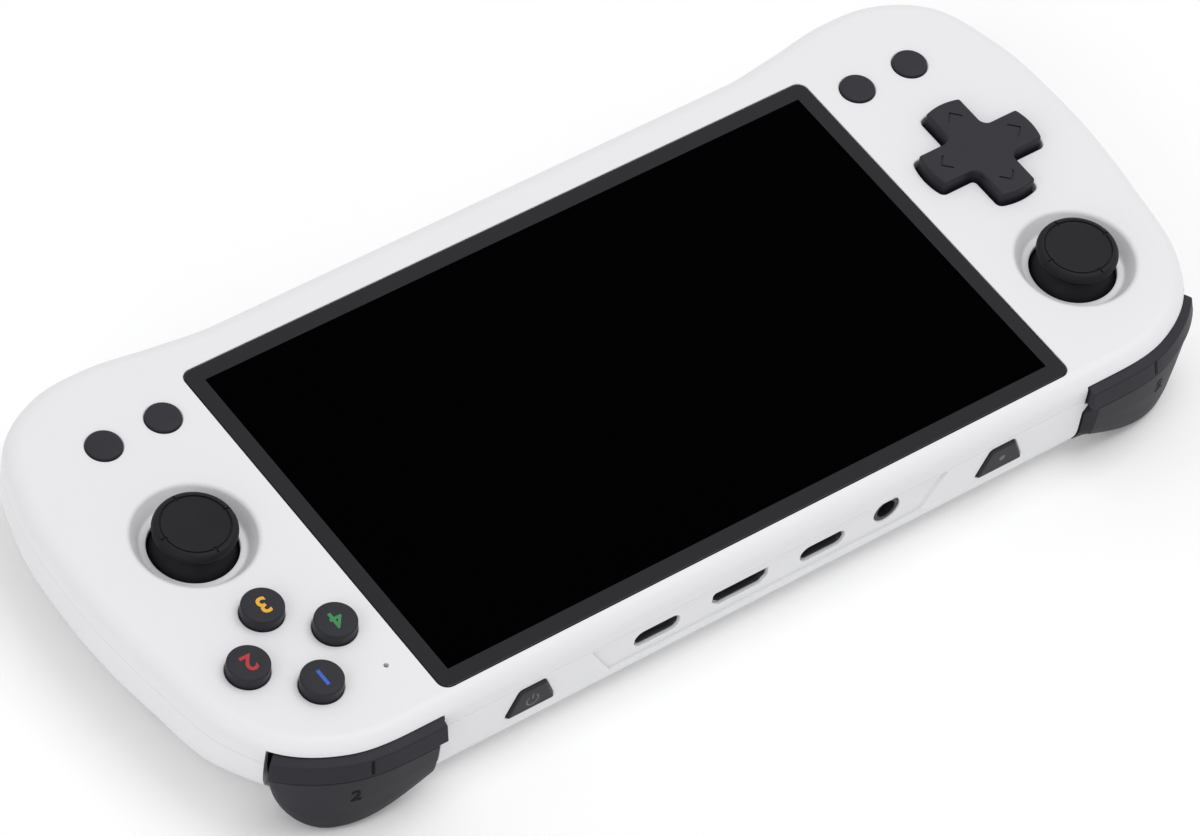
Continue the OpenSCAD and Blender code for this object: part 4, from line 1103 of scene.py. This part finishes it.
class CONSOLE_OT_direction_pad(bpy.types.Operator):
    """Builds the direction pad with its engraved arrows"""

    bl_idname = "console.direction_pad"
    bl_label = "Direction pad"

    def execute(self, context):
        keys = context.scene.console_keys
        low, high = span("direction_pad")
        rounding = keys.pad_round / MM
        outline = cross(keys.arm / MM, keys.reach / MM, keys.fillet / MM, PAD_AT)
        steps = [(0, low.z + 1.9), (0, high.z - rounding)] + rounded_edge(rounding, high.z, 6)
        pad = piece("direction_pad_key", levels(outline, steps))
        seat = [(radius, low.z + height) for radius, height in PAD_SEAT]
        carve(pad, "UNION", turned(seat, PAD_AT))
        carve(pad, "DIFFERENCE", *self.arrows(keys.reach / MM, high.z))
        dress(pad, "pad", "key_plastic", ["direction_pad"])
        return {"FINISHED"}

    def arrows(self, reach, top):
        """Cutters for the chevrons near the arm ends."""
        tip, wing, width, depth = reach - 2.3, 1.55, 0.34, 0.22
        outer = [(tip - wing, -wing), (tip, 0), (tip - wing, wing)]
        inner = [(x - width * math.sqrt(2), y) for x, y in reversed(outer)]
        cut = [(0, top - depth), (0, top + 1)]
        return [levels(outline, cut) for outline in four_ways(outer + inner, PAD_AT)]


# Section of a stick's cap from the middle outwards, as shares of its radius and depths below its top
CROWN = [(0, 0.35), (0.45, 0.28), (0.74, 0.12), (0.79, 0.10)]
GROOVE = [(0.80, 0.28), (0.825, 0.28)]
RIM = [(0.835, 0.03), (0.87, 0), (0.92, 0.10), (0.965, 0.38), (0.99, 0.75), (1, 1.10)]
UNDERSIDE = [(0.985, 1.50), (0.935, 1.90), (0.83, 2.35)]


class CONSOLE_OT_sticks(bpy.types.Operator):
    """Builds the thumb sticks' caps with their dust domes"""

    bl_idname = "console.sticks"
    bl_label = "Thumb sticks"

    def execute(self, context):
        stick = context.scene.console_sticks
        for side, at in STICKS.items():
            top = span("stick_cap_" + side)[1].z
            obj = piece("stick_cap_" + side + "_thumb", turned(self.profile(stick, top), at, 128))
            carve(obj, "DIFFERENCE", *self.notches(at, top))
            dress(obj, "stick_" + side, "stick_rubber", ["stick_cap_" + side])
        return {"FINISHED"}

    def profile(self, stick, top):
        """Section of the cap: dished top, grooved ring, round rim, neck and dome."""
        cap, neck = stick.cap_r / MM, stick.neck_r / MM
        dome, skin = stick.dome_r / MM, stick.dome_t / MM
        pivot = BODY_TOP - 8
        shaft, shaft_top = 1.62, top - 2.3
        cap_profile = CROWN + GROOVE + RIM + UNDERSIDE
        points = [(share * cap, top - depth) for share, depth in cap_profile]
        points += [(neck + 0.4, top - 2.80), (neck, top - 3.15)]
        hollow, last = dome - skin, math.radians(76)
        points += self.arc(dome, pivot, math.asin((neck + 0.02) / dome), last)
        points += self.arc(hollow, pivot, last, math.asin(shaft / hollow))
        return points + [(shaft, shaft_top), (0, shaft_top)]

    def arc(self, radius, pivot, start, end):
        """Part of a dome's section between two angles from upright."""
        angles = [start + (end - start) * k / 14 for k in range(15)]
        return [(radius * math.sin(a), pivot + radius * math.cos(a)) for a in angles]

    def notches(self, at, top):
        """Cutters for the four small grip marks on the rim."""
        corners = [(5.35, -0.2), (6.55, -0.2), (6.55, 0.2), (5.35, 0.2)]
        return [levels(mark, [(0, top - 0.3), (0, top + 1)]) for mark in four_ways(corners, at)]


class CONSOLE_OT_edge_keys(bpy.types.Operator):
    """Builds the power and reset buttons on the port wall"""

    bl_idname = "console.edge_keys"
    bl_label = "Power and reset"

    def execute(self, context):
        edge, flange = 0.45, 0.9
        for node, body in EDGE_KEYS.items():
            low, high = span(node)
            outline = edge_key_outline(middle(node)[0])
            steps = [(flange, low.y), (flange, low.y + 1.3), (0, low.y + 1.3), (0, high.y - edge)]
            steps += rounded_edge(edge, high.y, 4)
            dress(piece(node + "_key", levels(outline, steps, "Y")), body, "key_plastic", [node])
        self.power_sign()
        self.reset_dot()
        return {"FINISHED"}

    def sign(self, name, node, body, *outlines):
        """Thin inlay in the face of an edge button."""
        face = span(node)[1].y
        solid = merge(*(levels(outline, [(0, face - 0.1), (0, face + 0.03)], "Y") for outline in outlines))
        dress(piece(name, solid), body, "key_plastic", material="print_grey")

    def power_sign(self):
        """Open ring with an upright stroke."""
        x, z = middle("power_button", "xz")
        at = Vector((x, z - 0.5))
        radius, half, opening = 1.15, 0.14, math.radians(38)
        angles = [math.pi / 2 + opening + (math.tau - 2 * opening) * k / 24 for k in range(25)]
        rays = [Vector((math.cos(a), math.sin(a))) for a in angles]
        outline = [tuple(at + ray * (radius + half)) for ray in rays]
        outline += [tuple(at + ray * (radius - half)) for ray in reversed(rays)]
        stroke = rectangle(2 * half, 1.3, half - 1e-3, (at.x, at.y + 0.95), 4)
        self.sign("power_sign", "power_button", "power", outline, stroke)

    def reset_dot(self):
        """Small round dot."""
        x, z = middle("reset_button", "xz")
        self.sign("reset_dot", "reset_button", "reset", disc(0.6, (x, z - 0.1), 32))


class CONSOLE_OT_sockets(bpy.types.Operator):
    """Builds the USB-C and HDMI sockets with their tongues"""

    bl_idname = "console.sockets"
    bl_label = "Sockets"

    def execute(self, context):
        for node, mouth, tongue in port_sockets():
            self.socket(node, mouth, tongue)
        return {"FINISHED"}

    def socket(self, node, outline, tongue):
        """Steel shell with a floor, and the contact tongue that stands on it."""
        low, high = span(node)
        skin, floor = 0.2, low.y + 0.8
        mouth = high.y - 0.15
        steps = [(0, low.y), (0, mouth - 0.1), (-0.1, mouth), (-skin, mouth), (-skin, floor)]
        dress(piece(node + "_shell", levels(outline, steps, "Y")), "case", "plated_steel", [node])
        steps = [(0, floor - 0.2), (0, mouth - 0.9), (-0.15, mouth - 0.7)]
        dress(piece(node + "_tongue", levels(tongue, steps, "Y")), "case", "black_plastic")


# Back screws

HEAD_R, SHANK_R, RECESS_W, RECESS_H = 1.9, 0.9, 2.2, 0.5


class CONSOLE_OT_screws(bpy.types.Operator):
    """Builds the case screws with their cross recesses"""

    bl_idname = "console.screws"
    bl_label = "Case screws"

    def execute(self, context):
        low, high = span("case_screws")
        head = low.z + 1.3
        recess = [(0.15, low.z - 1), (0.15, low.z), (-0.1, low.z + 0.8)]
        profile = [(0, low.z), (HEAD_R, low.z), (HEAD_R, head)]
        profile += [(SHANK_R, head), (SHANK_R, high.z), (0, high.z)]
        profile = fillet(profile, [0, 0.35, 0.1, 0, 0.3, 0], 5, closed=False)
        screws = piece("case_screw_set", merge(*(turned(profile, at, 48) for at in SCREWS_AT)))
        for w, h in ((RECESS_W, RECESS_H), (RECESS_H, RECESS_W)):
            carve(screws, "DIFFERENCE", *(levels(rectangle(w, h, 0.1, at, 2), recess) for at in SCREWS_AT))
        dress(screws, "case", "plated_steel", ["case_screws"])
        return {"FINISHED"}


# Stage

AMBIENT = 0.64
AIM = (9.91, 7.62, BODY_TOP)
FLOOR_R, FLOOR_LOW, FLOOR_TOP = 4000, -20, -0.05


class CONSOLE_OT_stage(bpy.types.Operator):
    """Sets the table, the soft light and the camera"""

    bl_idname = "console.stage"
    bl_label = "Stage"

    def execute(self, context):
        stage = context.scene.console_stage
        context.scene.view_settings.view_transform = "Standard"
        self.table(stage)
        self.world(context.scene)
        self.lamps()
        self.camera(context.scene, stage)
        return {"FINISHED"}

    def table(self, stage):
        """Wide pale floor under the console."""
        floor = piece("floor", levels(disc(FLOOR_R, steps=96), [(0, FLOOR_LOW), (0, FLOOR_TOP)]))
        finish("floor_pale", stage.floor, 0.995, 2, 40, (0.85, 0.95), 0.0, Specular_IOR_Level=0.1)
        floor.data.materials.append(bpy.data.materials["floor_pale"])

    def world(self, scene):
        """White surroundings that light the object less than they show."""
        world = bpy.data.worlds.new("studio")
        scene.world = world
        world.use_nodes = True
        tree = world.node_tree
        tree.nodes.clear()
        out, path, pick = new_nodes(tree, "OutputWorld", "LightPath", "MixShader")
        shown, ambient = new_nodes(tree, "Background", "Background")
        for background, strength in ((shown, 1), (ambient, AMBIENT)):
            background.inputs["Color"].default_value = (1, 1, 1, 1)
            background.inputs["Strength"].default_value = strength
        seen, output = path, "Is Camera Ray"
        for ray in ("Is Glossy Ray", "Is Transmission Ray"):
            (either,) = new_nodes(tree, "Math")
            either.operation = "MAXIMUM"
            wire(tree, (seen, output, either, 0), (path, ray, either, 1))
            seen, output = either, "Value"
        wire(
            tree,
            (seen, output, pick, "Fac"),
            (ambient, "Background", pick, 1),
            (shown, "Background", pick, 2),
            (pick, "Shader", out, "Surface"),
        )

    def lamps(self):
        """Large soft lamps: one over the left grip and one behind the camera."""
        for name, at, size, watts in (
            ("key_lamp", (-0.6, 0.1, 1.7), 1.2, 11.5),
            ("fill_lamp", (1.8, 0.5, 1.1), 1.4, 8),
        ):
            lamp = bpy.data.lights.new(name, "AREA")
            lamp.shape = "SQUARE"
            lamp.size = size
            lamp.energy = watts
            obj = link(name, lamp)
            obj.location = at
            obj.rotation_euler = (-Vector(at)).to_track_quat("-Z", "Y").to_euler()

    def camera(self, scene, stage):
        """Camera at the photograph's viewing angle."""
        aim = Vector(AIM) * MM
        away = Vector(
            (
                math.cos(stage.elevation) * math.cos(stage.azimuth),
                math.cos(stage.elevation) * math.sin(stage.azimuth),
                math.sin(stage.elevation),
            )
        )
        level = Vector((0, 0, 1)).cross(away).normalized()
        upright = away.cross(level)
        right = level * math.cos(stage.roll) + upright * math.sin(stage.roll)
        up = away.cross(right)
        lens = bpy.data.cameras.new("camera")
        lens.sensor_width = 36
        lens.sensor_fit = "HORIZONTAL"
        lens.lens = stage.lens
        lens.clip_start = 0.01
        lens.clip_end = 20
        camera = link("camera", lens)
        turn = Matrix((right, up, away)).transposed().to_4x4()
        camera.matrix_world = Matrix.Translation(aim + away * stage.distance) @ turn
        scene.camera = camera


class CONSOLE_PT_build(bpy.types.Panel):
    """Lists the steps that dress the console"""

    bl_idname = "CONSOLE_PT_build"
    bl_label = "Console"
    bl_space_type = "VIEW_3D"
    bl_region_type = "UI"
    bl_category = "Console"

    def draw(self, context):
        for step in STEPS:
            self.layout.operator(step.bl_idname)
        for name, _kind in SETTINGS:
            group = getattr(context.scene, name)
            for key in group.bl_rna.properties.keys():
                if key not in ("rna_type", "name"):
                    self.layout.prop(group, key)


STEPS = (
    CONSOLE_OT_finishes,
    CONSOLE_OT_stage,
    CONSOLE_OT_covers,
    CONSOLE_OT_screen,
    CONSOLE_OT_round_buttons,
    CONSOLE_OT_direction_pad,
    CONSOLE_OT_sticks,
    CONSOLE_OT_levers,
    CONSOLE_OT_edge_keys,
    CONSOLE_OT_sockets,
    CONSOLE_OT_screws,
)
SETTINGS = (
    ("console_shell", ShellSettings),
    ("console_keys", KeySettings),
    ("console_sticks", StickSettings),
    ("console_screen", ScreenSettings),
    ("console_stage", StageSettings),
)


def register():
    for name, kind in SETTINGS:
        bpy.utils.register_class(kind)
        setattr(bpy.types.Scene, name, PointerProperty(type=kind))
    for step in STEPS:
        bpy.utils.register_class(step)
    bpy.utils.register_class(CONSOLE_PT_build)


def unregister():
    bpy.utils.unregister_class(CONSOLE_PT_build)
    for step in reversed(STEPS):
        bpy.utils.unregister_class(step)
    for name, kind in reversed(SETTINGS):
        delattr(bpy.types.Scene, name)
        bpy.utils.unregister_class(kind)


def main():
    register()
    bpy.ops.console.finishes()
    bpy.ops.console.stage()
    bpy.ops.console.covers()
    bpy.ops.console.screen()
    bpy.ops.console.round_buttons()
    bpy.ops.console.direction_pad()
    bpy.ops.console.sticks()
    bpy.ops.console.levers()
    bpy.ops.console.edge_keys()
    bpy.ops.console.sockets()
    bpy.ops.console.screws()


if __name__ == "__main__":
    main()
